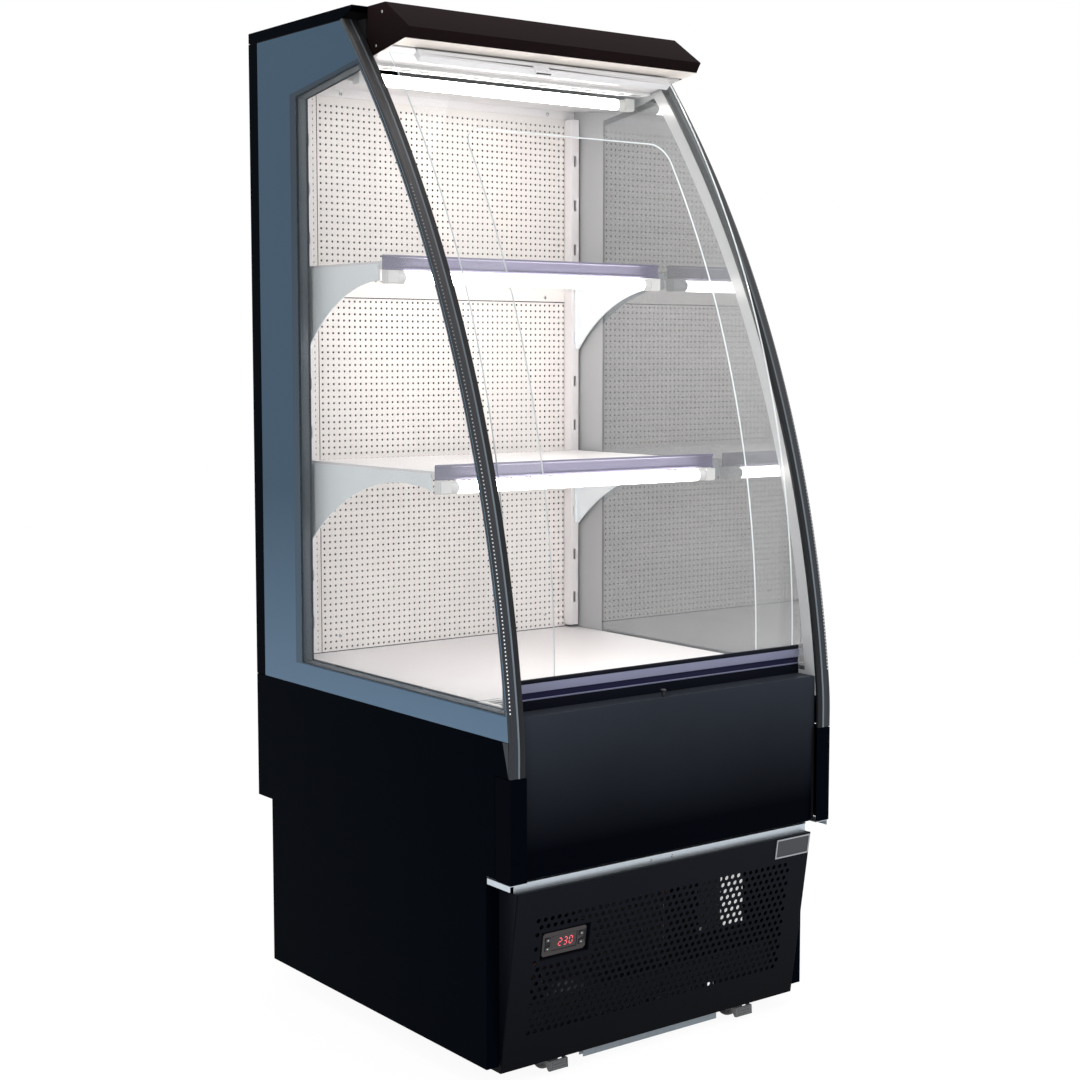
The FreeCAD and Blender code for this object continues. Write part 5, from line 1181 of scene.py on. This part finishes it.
def tube_bend(form, x, side, depth, z, pitch):
    """Add the half-round bend that joins a tube to the one above it, outside a coil's end."""
    turns = [math.pi * k / bend_steps for k in range(bend_steps + 1)]
    line = [at(x + side * bend_reach * math.sin(turn), depth, z + pitch / 2 * (1 - math.cos(turn)))
            for turn in turns]
    across = Vector((0, 1, 0))
    rings = []
    for k, centre in enumerate(line):
        ahead = (line[min(k + 1, bend_steps)] - line[max(k - 1, 0)]).normalized()
        up = ahead.cross(across)
        angles = [math.tau * n / tube_sides for n in range(tube_sides)]
        rings.append([form.verts.new(centre + tube_radius / 1000 * (across * math.cos(a) + up * math.sin(a)))
                      for a in angles])
    for low, high in zip(rings, rings[1:]):
        for n in range(tube_sides):
            form.faces.new([low[n - 1], low[n], high[n], high[n - 1]]).material_index = 1
    for ring in (rings[0], rings[-1]):
        form.faces.new(ring).material_index = 1


for name, x0, x1, d0, d1, z0, z1, count, tube_depths, tube_heights in (
        ("condenser", -176, 52, 98, 134, 112, 280, 90, (106, 126), range(124, 280, 24)),
        ("evaporator", -236, 228, 438, 592, 341, 430, 110, (465, 515, 565), range(360, 411, 25))):
    mesh = grown(name + "_fins", fin_pack,
                 {"Length": (x1 - x0 - 6) / 1000, "Depth": (d1 - d0) / 1000, "Height": (z1 - z0 - 1) / 1000,
                  "Count": count, "Fin": 0.00025, "Finish": fin_metal})
    mesh.transform(Matrix.Translation(at(x0 + 3, (d0 + d1) / 2, (z0 + z1) / 2)))
    placed(name + "_fins", mesh, [], "aluminium", name)
    form = bmesh.new()
    for x in (x0 - 1, x1 - 1):
        bar(form, d0 - 2, d1 + 2, z0, z1, x, x + 2)
    length = x1 - x0 + 10
    tube = [(0, 0), (0, tube_radius), (length, tube_radius), (length, 0)]
    for depth in tube_depths:
        for z in tube_heights:
            turning(form, at(x0 - 5, depth, z), (1, 0, 0), tube, tube_sides, [1] * 3)
        for i, z in enumerate(tube_heights[:-1]):
            x, side = (x1 + 5, 1) if i % 2 else (x0 - 5, -1)
            tube_bend(form, x, side, depth, z, tube_heights.step)
    built(name + "_tubes", form, [fin_metal, copper], "aluminium", angle=40)

# ---------------------------------------------------------------- fans
# Two axial fans: black mouldings on motors held by straps. Each turns in a flanged mouth of
# galvanised steel.
for name, plate in (("condenser_fan", "fan_shroud"), ("evaporator_fan", "evaporator_fan_plate")):
    softened(name.replace("fan", "shroud"), plate, galvanised, "zinc_steel", 0.4)
    softened(name + "_blades", name, black_plastic, "black_plastic", 0.5, body=name)

# ---------------------------------------------------------------- compressor
# Hermetic steel shell pressed in two halves, welded round the middle and stove-enamelled black,
# on a foot plate with rubber mounts; a moulded cover hides its terminals.
enamel = textured("compressor_enamel", coat_grain, 0.2, Color=(0.010, 0.010, 0.011), Shade=0.3,
                  Grain=600.0, Patch=14.0, Roughness=0.25, Spread=0.15, Dust=0.25, Specular_IOR_Level=0.5)
shell_depth, shell_foot, lower_turns, upper_turns = 430, 13.6, (30, 60, 90), (15, 30, 45, 60, 72, 80)
shell = [(14, 0), (14, 68)]
shell += [(14 + 14 * math.sin(turn), 68 + 10 * (1 - math.cos(turn)))
          for turn in map(math.radians, lower_turns)]
shell += [(93, 78), (93.6, 81.6), (95, 82), (99, 82), (100.4, 81.6), (101, 78.6), (128, 77)]
shell += [(128 + 34 * math.sin(turn), 77 * math.cos(turn) ** 0.55)
          for turn in map(math.radians, upper_turns)]
shell += [(162, 22), (162, 0)]
mount = [(0, 0), (0, 11.6), (1, 12), (5, 11.2), (6, 9.4), (8, 9.4), (9, 10.6), (12, 9.6), (12.4, 0)]
nut = [(0, 0), (0, 7), (1.2, 7), (1.6, 4), (4, 4), (4.4, 0)]
form = bmesh.new()
turning(form, at(0, shell_depth, shell_foot), (0, 0, 1), shell, 64)
bar(form, 388, 472, 25.6, 28.6, -95, 95)
for x in (-82, 82):
    for depth in (shell_depth - 30, shell_depth + 30):
        turning(form, at(x, depth, shell_foot), (0, 0, 1), mount, 24, [1] * 8)
        turning(form, at(x, depth, 28.6), (0, 0, 1), nut, 12, [2] * 5)
prism(form, [(404, 70), (406, 68.6), (454, 68.6), (456, 70), (456, 120), (454, 121.6), (406, 121.6),
             (404, 120)], -100, -70, 1)
built("compressor_shell", form, [enamel, black_plastic, castor_zinc], "compressor_black", "compressor",
      angle=40)
